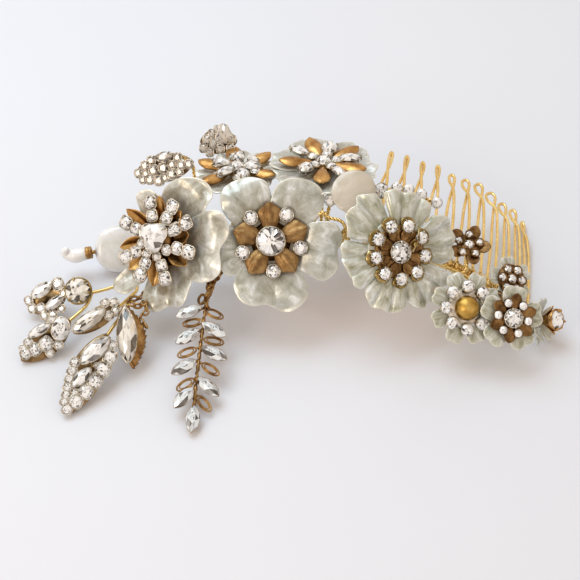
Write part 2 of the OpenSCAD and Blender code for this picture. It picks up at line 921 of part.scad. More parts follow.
// Leaves: a flat gold plate with stones standing just above it
leaf_thick = 0.8;

function above_leaf(back) = leaf_thick + stone_gap + back;

module leaf_plate(long, wide, sides = 12) {
  linear_extrude(leaf_thick)
    translate([long/2, 0])
      polygon(oval_outline(long, wide, sides));
}

module leaf_rounds(table) {
  for (s = table)
    translate([s[0], s[1], above_leaf(0.35*s[2])])
      round_stone(s[2]);
}

module leaf_navette(along, across, heading, long, wide) {
  translate([along, across, above_leaf(0.25*wide)])
    rotate(heading)
      navette(long, wide);
}

module upper_leaf() {
  color("darkkhaki")
    in_frame()
      put(upper_leaf_place) {
        translate([-0.6, 1.7, 0])
          leaf_plate(11.4, 8.4);
        translate([0.6, -0.2, 0])
          cylinder(r = 1.5, h = leaf_thick, $fn = 16);
      }
}

module upper_leaf_stones() {
  color("white")
    in_frame()
      put(upper_leaf_place) {
        leaf_rounds(upper_leaf_rounds);
        leaf_navette(5.1, -0.7, 6, 6, 2.8);
        leaf_navette(3.4, 3.4, 9, 5.2, 2.4);
      }
  color("white")
    in_frame()
      put(joint_place)
        translate([0, 0, joint_floor + stone_gap + joint_back])
          cut_stone(round_outline(joint_radius, 12), crown = 1.3, back = joint_back);
}

module lower_leaf() {
  color("darkkhaki")
    in_frame()
      put(lower_leaf_place)
        leaf_plate(15.2, 8.4);
}

module lower_leaf_stones() {
  color("white")
    in_frame()
      put(lower_leaf_place) {
        leaf_rounds(lower_leaf_rounds);
        leaf_navette(7.1, -2.6, -10, 6, 2.2);
        translate([3.2, 0.3, above_leaf(0.35*2)])
          rotate(37)
            oval_stone(5.2, 4);
      }
}

module long_leaf() {
  color("darkkhaki")
    in_frame()
      put(long_leaf_place)
        leaf_plate(21, 9, 14);
}

module long_leaf_stones() {
  color("white")
    in_frame()
      put(long_leaf_place) {
        leaf_rounds(long_leaf_rounds);
        leaf_navette(5.2, -0.5, -22, 8, 3.5);
        leaf_navette(12.1, -0.7, -23, 4, 1.8);
      }
}

// Leaf with four small stones at its root and one long stone down its length
module side_leaf() {
  color("darkkhaki")
    in_frame()
      put(side_leaf_place)
        translate([-2.8, 0.4, 0])
          leaf_plate(13, 5.4);
}

// Leaf with a saw-toothed edge under one long stone
module saw_leaf() {
  teeth = 6;
  long = 14.8;
  reach = 3.4;
  saw = concat(
    [[0, -0.6], [3, -2.4], [9, -2.6], [long, 0.2]],
    [for (i = [teeth:-1:1]) each [
      [long*(i - 0.3)/teeth, reach*sin(180*(i - 0.3)/teeth) + 0.9],
      [long*(i - 0.8)/teeth, reach*sin(180*(i - 0.8)/teeth) + 0.2]
    ]]
  );
  color("peru")
    in_frame()
      put(saw_leaf_place)
        linear_extrude(leaf_thick)
          polygon(saw);
}

module saw_leaf_stones() {
  color("lightyellow")
    in_frame() {
      put(saw_leaf_place)
        leaf_navette(7, -0.3, -3, 12.8, 4.6);
      put(side_leaf_place) {
        leaf_navette(5.5, -0.1, 2, 8.8, 3.4);
        leaf_rounds(side_leaf_rounds);
      }
    }
}

// Leaves at the back of the garland
module rear_leaf() {
  color("darkkhaki")
    in_frame()
      put(rear_leaf_place)
        translate([0, -0.9, 0])
          leaf_plate(16.8, 8.2);
}

module rear_leaf_stones() {
  color("lightyellow")
    in_frame()
      put(rear_leaf_place) {
        leaf_rounds(rear_leaf_rounds);
        leaf_navette(7.4, -3.6, 0, 4.6, 2.4);
      }
}

module crown_leaf() {
  color("darkkhaki")
    in_frame()
      put(crown_leaf_place)
        translate([-0.8, -1.5, 0])
          leaf_plate(11, 7.4);
}

module crown_leaf_stones() {
  color("lightyellow")
    in_frame()
      put(crown_leaf_place) {
        leaf_rounds(crown_leaf_rounds);
        translate([2.4, -3, above_leaf(0.7)])
          rotate(30)
            cut_stone(triangle_outline(2.2), crown = 0.9, back = 0.7);
      }
}

// Vine: a stem with long stones on plates and open leaf loops to each side
vine_stem_radius = 0.5;
vine_twig_radius = 0.32;
navette_long = 6.6;
navette_wide = 3.1;
loop_long = 2.15;
loop_wide = 0.85;
plate_thick = 0.6;

function loop_path(entry) = [
  for (i = [0:6]) let (
    a = -165 + 330*i/6,
    x = loop_long*cos(a),
    y = loop_wide*sin(a)
  )
  [entry[0] + x*cos(entry[2]) - y*sin(entry[2]),
   entry[1] + x*sin(entry[2]) + y*cos(entry[2]), 0.3]
];

// A twig runs from near an entry's middle back to the stem, which lies along y = 0
function twig_root(entry) =
  entry[2] == 0 ? [entry[0] - 4, 0, 0.3] : [entry[0] - entry[1]/tan(entry[2]), -0.1, 0.3];

module vine_twig(entry, start) {
  wire([[entry[0] - start*cos(entry[2]), entry[1] - start*sin(entry[2]), 0.3],
        twig_root(entry)], vine_twig_radius);
}

module vine_plate(entry) {
  translate([entry[0], entry[1], 0])
    rotate(entry[2])
      linear_extrude(plate_thick)
        polygon(oval_outline(navette_long + 0.4, navette_wide + 0.4, 10));
}

module vine() {
  color("darkgoldenrod")
    in_frame()
      put(vine_place) {
        wire([[-4.1, 0, 1.4], [-1, 0, 0.4], [2, -0.2, 0.3], [12, -0.3, 0.3], [22, -0.2, 0.3],
              [28, 0, 0.3]], vine_stem_radius);
        for (entry = vine_navettes) {
          vine_plate(entry);
          vine_twig(entry, 2);
        }
        for (entry = vine_loops) {
          wire(loop_path(entry), vine_twig_radius);
          vine_twig(entry, 1.6);
        }
      }
}

module vine_stones() {
  color("white")
    in_frame()
      put(vine_place)
        for (entry = vine_navettes)
          translate([entry[0], entry[1], plate_thick + stone_gap + 0.25*navette_wide])
            rotate(entry[2])
              navette(navette_long, navette_wide);
}

// Stones on the twig above the right flower, and the single stone beside the shell disc
twig_facing = [0, 50, -80];
twig_rounds = [
  [[23.6, 7.9, 30.6], 1.3],
  [[26.4, 8.4, 30.2], 1.3],
  [[29.4, 8.8, 28.9], 1.3],
  [[33.2, 8.9, 27], 1.3],
  [[9, 2.4, 29], 1.45]
];

module twig_stones() {
  color("white")
    in_frame() {
      for (s = twig_rounds)
        put(concat([s[0]], twig_facing))
          round_stone(s[1]);
      put(concat([[20.3, 6.2, 30.6]], twig_facing))
        cut_stone(drop_outline(3.6, 2.6), crown = 0.8, back = 0.6);
    }
}

comb_bar();
tooth(1);  // tooth_01
tooth(2);  // tooth_02
tooth(3);  // tooth_03
tooth(4);  // tooth_04
tooth(5);  // tooth_05
tooth(6);  // tooth_06
tooth(7);  // tooth_07
tooth(8);  // tooth_08
tooth(9);  // tooth_09
tooth(10);  // tooth_10
tooth(11);  // tooth_11
wire_frame();
left_flower_petals();
left_flower_star();
left_flower_stones();
middle_flower_petals();
middle_flower_star();
middle_flower_stones();
right_flower_petals();
right_flower_cups();
right_flower_stones();
rear_left_petals();
rear_left_gold();
rear_left_stones();
rear_right_petals();
rear_right_gold();
rear_right_stones();
dome_flower_petals();
dome_flower_dome();
dome_flower_stones();
six_stone_petals();
six_stone_cups();
six_stone_stones();
end_flower_petals();
end_flower_cup();
end_flower_stone();
cluster_petals();
cluster_stones();
bronze_flower();
bronze_flower_stones();
coin_pearl();
stick_pearl();
shell_disc();
upper_leaf();
upper_leaf_stones();
lower_leaf();
lower_leaf_stones();
long_leaf();
long_leaf_stones();
side_leaf();
saw_leaf();
saw_leaf_stones();
rear_leaf();
rear_leaf_stones();
crown_leaf();
crown_leaf_stones();
vine();
vine_stones();
twig_stones();
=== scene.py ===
"""Looks of the bridal hair comb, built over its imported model. Lengths are in millimetres until make()."""

import random
from math import cos, degrees, hypot, pi, radians, sin, tan

import bmesh
import bpy
import numpy as np
from mathutils import Euler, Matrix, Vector


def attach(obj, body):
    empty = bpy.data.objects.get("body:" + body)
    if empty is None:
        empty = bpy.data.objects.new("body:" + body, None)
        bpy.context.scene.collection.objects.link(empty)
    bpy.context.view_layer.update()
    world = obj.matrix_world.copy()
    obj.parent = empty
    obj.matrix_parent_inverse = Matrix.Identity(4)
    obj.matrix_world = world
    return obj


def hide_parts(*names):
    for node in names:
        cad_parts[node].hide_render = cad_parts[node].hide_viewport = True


MM = 0.001
FOOT = np.array([2.6, -6.13, 0.0])
RNG = random.Random(7)

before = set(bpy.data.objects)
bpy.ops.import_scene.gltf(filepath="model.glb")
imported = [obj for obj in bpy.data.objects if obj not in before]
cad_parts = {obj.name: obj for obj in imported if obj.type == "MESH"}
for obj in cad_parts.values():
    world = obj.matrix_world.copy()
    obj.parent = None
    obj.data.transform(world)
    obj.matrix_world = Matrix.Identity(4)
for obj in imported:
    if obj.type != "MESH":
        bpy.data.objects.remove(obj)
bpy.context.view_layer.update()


# ---- places
def rotation(*angles):
    m = np.eye(4)
    m[:3, :3] = np.array(Euler([radians(a) for a in angles], "XYZ").to_matrix())
    return m


def turn(axis, angle):
    return rotation(*[angle if a == axis else 0.0 for a in "XYZ"])


def shift(x, y, z):
    m = np.eye(4)
    m[:3, 3] = (x, y, z)
    return m


def place(at, *angles):
    return shift(*(np.array(at) - FOOT)) @ rotation(*angles)


def raised(m, z):
    return m @ shift(0, 0, z)


def on(m, x, y, z, heading=0.0):
    """Spot on a form, turned about its upright."""
    return m @ shift(x, y, z) @ turn("Z", heading)


def around(m, angle, r, z, tip=0.0):
    """Spot at a distance from a form's middle, facing outward and tipped."""
    return m @ turn("Z", angle) @ shift(r, 0, z) @ turn("Y", tip)


def ring(m, count, first, r, z, tip=0.0):
    """Spots in a circle about a form's middle."""
    return [around(m, first + 360 * i / count, r, z, tip) for i in range(count)]


def spot(m, *v):
    return m[:3, :3] @ np.array(v, float) + m[:3, 3] + FOOT


# Each form's place and its turn about X, Y and Z
FORMS = {
    "left": (-28.4, -7.1, 17.5, 0, 52, -109),
    "middle": (-3.1, -6.7, 22, 0, 48, -77),
    "right": (26.3, -6.5, 24, 0, 50, -54),
    "rear_left": (-15.2, 10.3, 25.7, 0, 8, 120),
    "rear_right": (5.2, 13.9, 28.5, 0, 8, 90),
    "dome": (43.2, -10.1, 13, 0, 45, -65),
    "six": (53.6, -10.6, 12.4, 0, 44, -66),
    "end": (60.7, -2.2, 4.7, 0, 60, -20),
    "cluster": (52.6, 3, 11.4, 0, 39, -48),
    "bronze": (41.8, 4.6, 18.6, 0, 23, -65),
    "shell": (14.4, 2.6, 32, 0, 30, -80),
    "coin": (-44.3, 0.2, 5.3, 0, 50, -62),
    "stick": (-53.3, -4.9, 6.2, 0, 8, 197),
    "upper_leaf": (-52.5, -16.7, 7.5, -40, 26, -157),
    "lower_leaf": (-47.2, -26.2, 6.1, -35, 22, -132),
    "long_leaf": (-36.4, -30.9, 8.8, -22, 24, -103),
    "joint": (-47.6, -18.6, 7.8, 0, 40, -80),
    "side_leaf": (-38.1, -24.2, 9.5, -35, 12, -134),
    "saw_leaf": (-34.1, -23.9, 11, -2, 37, -69),
    "rear_leaf": (-27.2, 15.6, 23, -56, 20, -176),
    "crown_leaf": (-17.9, 19.8, 27, -56, 17, 171),
    "vine": (-16.5, -16.6, 8.2, -7, 13.9, -82),
}
PLACES = {name: place(row[:3], *row[3:]) for name, row in FORMS.items()}
ARCH_CENTRE = np.array([20.3, 2.8, -27.0])
ARCH_RADIUS = 47.0
ARCH_TILT = radians(3)


def tilted(x, along, z):
    c, s = cos(ARCH_TILT), sin(ARCH_TILT)
    return ARCH_CENTRE + np.array([x, along * c - z * s, along * s + z * c])


def arch_point(angle, along, radius):
    a = radians(angle)
    return tilted(radius * sin(a), along, radius * cos(a))


# ---- shapes
class Shape:
    """Points and faces of one piece; each face has a tone, the painted reflection of a stone's facet, and
    each point a flow and a rim value, below zero where shade is painted.
    """

    def __init__(self):
        self.points, self.faces, self.tone, self.smooth, self.flow, self.rim = [], [], [], [], [], []
        self.count = 0

    def add(self, points, faces, m=None, tone=1.0, smooth=True, flow=None, rim=None):
        points = np.asarray(points, float).reshape(-1, 3)
        if m is not None:
            points = points @ m[:3, :3].T + m[:3, 3]
        self.points.append(points)
        self.faces += [tuple(i + self.count for i in f) for f in faces]
        self.tone += tone if isinstance(tone, list) else [tone] * len(faces)
        self.smooth += [smooth] * len(faces)
        self.flow.append(np.zeros_like(points) if flow is None else flow.reshape(-1, 3))
        self.rim.append(np.zeros(len(points)) if rim is None else rim.ravel())
        self.count += len(points)

    def tube(self, path, r, sides, m=None, closed=False):
        self.add(*tube(path, r, sides, closed), m)

    def lathe(self, m, profile, steps, square=0.0):
        self.add(*lathe(profile, steps, square), m)

    def sheet(self, m, top, low, flow=None, rim=None):
        """Closed sheet between two grids of points."""
        flow, rim = [None if grid is None else np.concatenate([grid, grid]) for grid in (flow, rim)]
        self.add(np.concatenate([top, low]), sheet_faces(*top.shape[:2]), m, flow=flow, rim=rim)


def shapes(count):
    return [Shape() for _ in range(count)]


def turn_faces_out(mesh):
    bm = bmesh.new()
    bm.from_mesh(mesh)
    bmesh.ops.recalc_face_normals(bm, faces=bm.faces)
    bm.to_mesh(mesh)
    bm.free()


def add_object(name, data):
    item = bpy.data.objects.new(name, data)
    bpy.context.scene.collection.objects.link(item)
    return item


def make(name, shape, look, *nodes, slot=None):
    """Turn a shape into a piece; nodes are those that it replaces."""
    material, usual_slot = look
    slot = slot or usual_slot
    mesh = bpy.data.meshes.new(name)
    mesh.from_pydata((np.concatenate(shape.points) * MM).tolist(), [], shape.faces)
    mesh.polygons.foreach_set("use_smooth", shape.smooth)
    # Each face's tone is the painted reflection that the crystal looks read
    mesh.attributes.new("tone", "FLOAT", "FACE").data.foreach_set("value", shape.tone)
    flow = np.concatenate(shape.flow).ravel()
    mesh.attributes.new("flow", "FLOAT_VECTOR", "POINT").data.foreach_set("vector", flow)
    mesh.attributes.new("rim", "FLOAT", "POINT").data.foreach_set("value", np.concatenate(shape.rim))
    turn_faces_out(mesh)
    mesh.update()
    piece = add_object(name, mesh)
    piece.data.materials.append(material)
    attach(piece, "root")
    if nodes:
        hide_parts(*nodes)


def unit(v):
    return v / np.maximum(np.linalg.norm(v, axis=-1, keepdims=True), 1e-9)


def full_turn(count):
    return np.linspace(0, 2 * pi, count, endpoint=False)


def catmull(points, per=6):
    """Smooth curve through points, with per steps between two of them."""
    p = np.asarray(points, float)
    ends = np.concatenate([2 * p[:1] - p[1:2], p, 2 * p[-1:] - p[-2:-1]])
    t = np.linspace(0, 1, per, endpoint=False)[:, None]
    out = []
    for i in range(len(ends) - 3):
        a, b, c, d = ends[i : i + 4]
        line = 2 * b + (c - a) * t + (2 * a - 5 * b + 4 * c - d) * t**2
        out.append(0.5 * (line + (3 * b - a - 3 * c + d) * t**3))
    return np.concatenate(out + [p[-1:]])


def placed(points, per):
    """Smooth curve through points of the place frame."""
    return catmull(np.array(points, float) - FOOT, per)


def resample(path, step):
    lengths = np.linalg.norm(np.diff(path, axis=0), axis=1)
    s = np.concatenate([[0], np.cumsum(lengths)])
    at = np.linspace(0, s[-1], max(int(s[-1] / step) + 1, 2))
    return np.stack([np.interp(at, s, path[:, k]) for k in range(3)], 1), at


def frames(path, closed=False):
    """Direction and two cross directions at each point of a path, carried on without a twist."""
    if closed:
        along = unit(np.roll(path, -1, 0) - np.roll(path, 1, 0))
        side = np.cross(path[0] - path.mean(0), path[len(path) // 4] - path.mean(0))
    else:
        along = unit(np.gradient(path, axis=0))
        side = np.array([0.31, 0.2, 0.93])
    side = side - along[0] * np.dot(side, along[0])
    sides = []
    for t in along:
        side = side - t * np.dot(side, t)
        side = side / max(np.linalg.norm(side), 1e-9)
        sides.append(side)
    return along, np.array(sides), np.cross(along, sides)


def tube(path, r, sides, closed=False):
    path = np.asarray(path, float)
    n = len(path)
    _, a, b = frames(path, closed)
    r = np.broadcast_to(np.asarray(r, float), (n,))
    w = full_turn(sides)
    ring = np.cos(w)[None, :, None] * a[:, None] + np.sin(w)[None, :, None] * b[:, None]
    faces = []
    for i in range(n if closed else n - 1):
        u, v = i * sides, ((i + 1) % n) * sides
        for j in range(sides):
            k = (j + 1) % sides
            faces.append((u + j, u + k, v + k, v + j))
    if not closed:
        faces.append(tuple(range(sides))[::-1])
        faces.append(tuple(range((n - 1) * sides, n * sides)))
    return path[:, None] + r[:, None, None] * ring, faces


def coil_path(path, radius, pitch, per=9, phase=0.0):
    fine, s = resample(path, pitch / per)
    _, a, b = frames(fine)
    w = 2 * pi * s / pitch + phase
    return fine + radius * (np.cos(w)[:, None] * a + np.sin(w)[:, None] * b)


def twisted_pair(shape, path, strand, pitch):
    for phase in (0, pi):
        shape.tube(coil_path(path, 0.92 * strand, pitch, 9, phase), strand, 6)


def sheet_faces(nu, nv):
    """Faces of a closed sheet made of two grids, the second after the first."""
    low = nu * nv
    faces = []
    for u in range(nu - 1):
        a, b = u * nv, (u + 1) * nv
        for v in range(nv - 1):
            faces.append((a + v, b + v, b + v + 1, a + v + 1))
            faces.append((a + v + low, a + v + 1 + low, b + v + 1 + low, b + v + low))
        faces.append((a + nv - 1, b + nv - 1, b + nv - 1 + low, a + nv - 1 + low))
        faces.append((b, a, a + low, b + low))
    for a in [u * nv + v for u in (0, nu - 1) for v in range(nv - 1)]:
        faces.append((a, a + 1, a + 1 + low, a + low))
    return faces


HUB = 0.06


def lathe(profile, steps, square=0.0):
    """Turned solid from a closed profile of radius and height; square pulls it to a rounded square."""
    x, y = square_edge(1, square)(full_turn(steps))
    p = np.asarray(profile, float)
    points = np.stack([np.outer(x, p[:, 0]), np.outer(y, p[:, 0]), np.tile(p[:, 1], (steps, 1))], -1)
    return points, band_faces(steps, len(p), max(p[0, 0], p[-1, 0]) < HUB)


def band_faces(steps, n, hub):
    """Faces between the columns of a turned form; a hub closes its two ends with flat caps."""
    faces = []
    for i in range(steps):
        j = (i + 1) % steps
        for a in range(n - 1 if hub else n):
            b = (a + 1) % n
            faces.append((i * n + a, j * n + a, j * n + b, i * n + b))
    if hub:
        faces.append(tuple(i * n for i in range(steps))[::-1])
        faces.append(tuple(i * n + n - 1 for i in range(steps)))
    return faces


def edge_solid(shape, m, edge, rows, count, x=0.0):
    """Solid of any outline from rows of a share of the outline and a height."""
    gx, gy = edge(full_turn(count))
    points = [(gx[i] * k + x, gy[i] * k, z) for i in range(count) for k, z in rows]
    shape.add(points, band_faces(count, len(rows), False), m)


# ---- soft forms
def wobble(x, y, seed):
    """Smooth made-up unevenness between about -1 and 1, the same on each run."""
    rng = random.Random(seed)
    total = np.zeros_like(x)
    for _ in range(6):
        a = rng.uniform(0, 2 * pi)
        f = rng.uniform(0.25, 0.9)
        total += np.sin(f * (x * cos(a) + y * sin(a)) + rng.uniform(0, 6.28)) / 3
    return total


def rim_profile(nv):
    """Shares of a petal's length, and its thickness there, rounded off at the rim."""
    v = np.concatenate([np.linspace(0, 0.93, nv) ** 0.9, [0.965, 0.988, 1.0]])
    t = np.where(v > 0.93, np.sqrt(np.clip(1 - ((v - 0.93) / 0.075) ** 2, 0.03, 1)), 1)
    return v[None, :], t[None, :]


def petal(shape, m, mid, half, reach, height, nu, nv, lap, seed, shade=None, thick=0.42):
    """One pressed petal: reach(x) is its length across its width and height(x, r) its relief."""
    x = np.sin(np.linspace(-pi / 2, pi / 2, nu))[:, None]
    v, t = rim_profile(nv)
    angle = np.radians(mid + half * x) + 0 * v
    r = reach(x) * v
    px, py = r * np.cos(angle), r * np.sin(angle)
    z = height(x, r) + lap * x * np.clip(r / 6, 0, 1)
    z = z + 0.1 * wobble(px, py, seed) + 0.06 * wobble(px * 2.6, py * 2.6, seed + 9)
    z = z + 0.2 + thick / 2
    flow = np.stack([x * 3.2 + 0 * v, r * 0.22, 0 * r + seed * 2.7], -1)
    # The rim value rises to 1 at the petal's edge, where the enamel is paler; below zero it is painted
    # shade, towards the root and wherever the shade function puts it
    rim = np.clip((v - 0.9) / 0.1, 0, 1) ** 2 - np.clip((0.72 - v) / 0.5, 0, 1) + 0 * r
    if shade is not None:
        rim = rim - shade(x, v)
    top, low = [np.stack([px, py, z + way * t * thick / 2], -1) for way in (1, -1)]
    shape.sheet(m, top, low, flow, rim)


def leaf_form(shape, m, long, width, rise, thick, curl, fold, nu, nv, power=1.0):
    """Petal along +X with width(t) over its length, domed by rise and with its tip lifted by curl."""
    t = np.linspace(0, 1, nu)[:, None]
    y = np.linspace(-1, 1, nv)[None, :]
    dome = rise * (1 - np.abs(y) ** power) * np.sin(pi * np.clip(t, 0.02, 0.98)) ** 0.6
    z = dome + curl * t**2 - fold * (1 - np.abs(y)) * np.sin(pi * t) ** 0.5
    px, py = t * long + 0 * y, y * (width(t) / 2)
    top = np.stack([px, py, z + thick], -1)
    low = np.stack([px, py * 0.96, z * 0.85], -1)
    shape.sheet(m, top, low, rim=np.abs(y) ** 4 + 0 * t)


def leaf_ring(shape, m, count, first, r, z, tip, *form):
    for here in ring(m, count, first, r, z, tip):
        leaf_form(shape, here, *form)


def blade_width(wide, lean, low, power):
    return lambda t: wide * np.clip(np.sin(pi * np.clip(t, 0, 1) ** lean), low, 1) ** power


def drop_width(wide):
    return blade_width(wide, 1.45, 0.03, 0.62)


# ---- stones and settings
def square_edge(r, square):
    """Outline between a circle and a rounded square."""

    def edge(w):
        c, s = np.cos(w), np.sin(w)
        k = 1 + square * (1 / np.power(c**4 + s**4, 0.25) - 1)
        return r * k * c, r * k * s

    return edge


def oval_edge(long, wide):
    def edge(w):
        s = np.sin(w)
        return long / 2 * np.cos(w), wide / 2 * np.sign(s) * np.abs(s) ** 1.45

    return edge


def egg_edge(long, wide):
    return lambda w: (long / 2 * np.cos(w), wide / 2 * np.sin(w))


def round_edge(r):
    return egg_edge(2 * r, 2 * r)


def drop_edge(long, wide):
    return lambda w: (long / 2 * np.cos(w), wide / 2 * np.sin(w) * (1 - 0.45 * np.cos(w)))


def triangle_edge(r):
    def edge(w):
        k = r * (1 + 0.16 * np.cos(3 * w))
        return k * np.cos(w), k * np.sin(w)

    return edge


# Tones of the painted reflections on a stone's facets: bright glints, greys and darks
BRIGHT = (0.88, 0.95, 1.0, 1.0, 1.0)
GREY = (0.5, 0.6, 0.68, 0.76)
DARK = (0.06, 0.16, 0.26)


def pick_reflection_tone(rng, dark, grey):
    """Tone of a facet's painted reflection: dark and grey are the shares of facets that get such a tone."""
    k = rng.random()
    if k < dark:
        return rng.choice(DARK)
    return rng.choice(GREY) if k < dark + grey else rng.choice(BRIGHT)


def gem(shape, m, edge, crown, back, sides=8, table=0.56, seed=0, dark=0.2, grey=0.25, rings=1):
    """Cut stone: table split into the reflections seen through it, three rows of crown facets, a back. Each
    facet's tone is a painted reflection, dark, grey or bright at random, and the back a dull grey.
    """
    rng = random.Random(seed * 31 + 5)
    n2 = 2 * sides
    w = full_turn(n2)
    gx, gy = edge(w)
    levels = [(1.0, 0.0), (0.8, crown * 0.55), (table, crown)]
    points = [(gx[i] * share, gy[i] * share, z) for share, z in levels for i in range(n2)]
    faces, tones = [], []
    girdle, middle, top = [[level * n2 + i % n2 for i in range(-1, n2 + 2)] for level in range(3)]
    for i in range(1, n2 + 1, 2):
        faces += [(girdle[i - 1], girdle[i], middle[i - 1]), (girdle[i], girdle[i + 1], middle[i + 1])]
        faces += [(middle[i - 1], girdle[i], top[i]), (girdle[i], middle[i + 1], top[i])]
        faces += [(middle[i + 1], top[i + 2], top[i])]
        bezel = pick_reflection_tone(rng, dark * 0.7, grey)
        tones += [pick_reflection_tone(rng, dark * 1.3, grey), pick_reflection_tone(rng, dark * 1.3, grey)]
        tones += [bezel, min(bezel + 0.06, 1), pick_reflection_tone(rng, dark, grey)]
    outer = top[1 : n2 + 1 : 2]
    for k in range(rings):
        share = table * (1 - (k + 1) / (rings + 1))
        inner = [len(points) + i for i in range(sides)]
        ix, iy = edge(w + (k + 1) * pi / n2)
        points += [(ix[i] * share, iy[i] * share, crown) for i in range(0, n2, 2)]
        for i in range(sides):
            j = (i + 1) % sides
            faces += [(outer[i], outer[j], inner[i]), (outer[j], inner[j], inner[i])]
            tones += [pick_reflection_tone(rng, dark * 0.8, grey), pick_reflection_tone(rng, dark * 0.3, grey)]
        outer = inner
    centre = len(points)
    points += [(0, 0, crown), (0, 0, -back)]
    for i in range(sides):
        faces.append((outer[i], outer[(i + 1) % sides], centre))
        tones.append(pick_reflection_tone(rng, dark * 0.4, grey * 0.7))
    faces += [((i + 1) % n2, i, centre + 1) for i in range(n2)]
    tones += [0.3] * n2
    shape.add(points, faces, m, tones, False)


def claws(shape, m, spots, height=0.5, r=0.17, lean=0.35, depth=0.9):
    """Claws at points of the girdle, each leaning in over the stone."""
    steps = [(0.16, -depth), (0.18, -0.1), (0.06, height * 0.55), (-lean, height)]
    radii = np.interp(np.linspace(0, 1, 10), [0, 0.6, 1], [r, r * 1.05, r * 0.85])
    for x, y in spots:
        d = hypot(x, y)
        path = [(x + out * (x / d), y + out * (y / d), z) for out, z in steps]
        shape.tube(catmull(path, 3), radii, 6, m)


def ring_spots(r, count, start=45):
    w = [radians(start + 360 * i / count) for i in range(count)]
    return [(r * cos(a), r * sin(a)) for a in w]


def collet(shape, m, r, depth=1.25, wall=0.28, square=0.0, steps=20, flare=0.82, lip=0.06):
    """Cup under a stone whose girdle is at the matrix's origin."""
    outside = [(0.05, -depth), (r * flare, -depth), (r + wall * 0.6, -depth * 0.5), (r + wall, -0.06)]
    inside = [(r + 0.03, lip), (r - 0.05, -0.18), (r * 0.5, -0.42), (0.05, -0.42)]
    shape.lathe(m, outside + [(r + wall * 0.8, lip)] + inside, steps, square)


def round_gem(stones, metal, m, r, seed, prongs=4, square=0.0, depth=1.25, dark=0.2):
    gem(stones, m, square_edge(r * 0.97, square), 0.42 * r, 0.35 * r, 8, 0.56, seed, dark)
    if metal is not None:
        collet(metal, m, r, depth, square=square)
        claws(metal, m, ring_spots(r, prongs), 0.3 * r, 0.11 * r + 0.03, 0.3 * r, depth * 0.7)


def gem_ring(stones, metal, m, count, first, r, z, size, seed, *form):
    for i, here in enumerate(ring(m, count, first, r, z)):
        round_gem(stones, metal, here, size, seed + i, *form)


def edge_cup(shape, m, edge, depth=0.8, grow=1.08):
    """Cup of any outline under a stone: a sloping wall with a floor."""
    outside = [(0.04, -depth), (0.8, -depth), (grow, -0.08), (grow, 0.05)]
    edge_solid(shape, m, edge, outside + [(1.0, 0.05), (0.9, -0.25), (0.04, -0.3)], 28)


def long_gem(stones, metal, m, long, wide, seed, dark=0.2, rings=1):
    edge = oval_edge(long * 0.98, wide * 0.98)
    gem(stones, m, edge, 0.3 * wide, 0.25 * wide, 6, 0.46, seed, dark, 0.34, rings)
    if metal is not None:
        edge_cup(metal, m, edge, 0.3 * wide)
        x, y = edge(np.radians([50, 130, 230, 310]))
        spots = list(zip(x, y)) + [(long * 0.48, 0.0), (-long * 0.48, 0.0)]
        claws(metal, m, spots, 0.2 * wide, 0.16, 0.25, 0.3 * wide)


# ---- materials
def nodes_of(name):
    mat = bpy.data.materials.new(name)
    mat.use_nodes = True
    tree = mat.node_tree
    shader = next(n for n in tree.nodes if n.type == "BSDF_PRINCIPLED")
    return mat, tree, shader, tree.nodes.new("ShaderNodeTexCoord").outputs["Object"]


def fill(tree, node, inputs):
    """Link the sockets among the inputs and set the numbers and colours."""
    for key, value in inputs.items():
        if isinstance(value, bpy.types.NodeSocket):
            tree.links.new(value, node.inputs[key])
        else:
            node.inputs[key].default_value = value


def add_node(tree, kind, inputs, **settings):
    node = tree.nodes.new(kind)
    for key, value in settings.items():
        setattr(node, key, value)
    fill(tree, node, inputs)
    return node


def ramp(tree, value, stops):
    node = add_node(tree, "ShaderNodeValToRGB", {0: value})
    elements = node.color_ramp.elements
    while len(elements) < len(stops):
        elements.new(0.5)
    for element, (at, *colour) in zip(elements, stops):
        element.position = at
        element.color = (*colour, 1)
    return node.outputs[0]


def noise(tree, vector, scale, detail=3.0, rough=0.55, distort=0.0):
    inputs = {"Vector": vector, "Scale": scale, "Detail": detail, "Roughness": rough, "Distortion": distort}
    return add_node(tree, "ShaderNodeTexNoise", inputs).outputs["Fac"]


def map_range(tree, value, start, end, low, high):
    inputs = {"Value": value, "From Min": start, "From Max": end, "To Min": low, "To Max": high}
    return add_node(tree, "ShaderNodeMapRange", inputs).outputs[0]


def spread(tree, value, low, high):
    return map_range(tree, value, 0.3, 0.7, low, high)


def mixed(tree, share, a, b):
    return add_node(tree, "ShaderNodeMix", {0: share, 2: a, 3: b}, data_type="FLOAT").outputs[0]


def mixed_colour(tree, share, a, b):
    return add_node(tree, "ShaderNodeMix", {0: share, 6: a, 7: (*b, 1)}, data_type="RGBA").outputs[2]


def attribute(tree, name, output="Fac"):
    return add_node(tree, "ShaderNodeAttribute", {}, attribute_name=name).outputs[output]


def bump(tree, height, strength, distance):
    inputs = {"Height": height, "Strength": strength, "Distance": distance}
    return add_node(tree, "ShaderNodeBump", inputs).outputs[0]


def metal(name, rough, scale, stops, grain=0.25, fine=2600.0, slot="antique_gold"):
    mat, tree, shader, where = nodes_of(name)
    tight = noise(tree, where, fine, 2.0)
    inputs = {
        "Base Color": ramp(tree, noise(tree, where, scale, 4.0, 0.6), stops),
        "Roughness": spread(tree, tight, *rough),
        "Normal": bump(tree, tight, grain, 0.00012),
        "Metallic": 1.0,
    }
    fill(tree, shader, inputs)
    return mat, slot


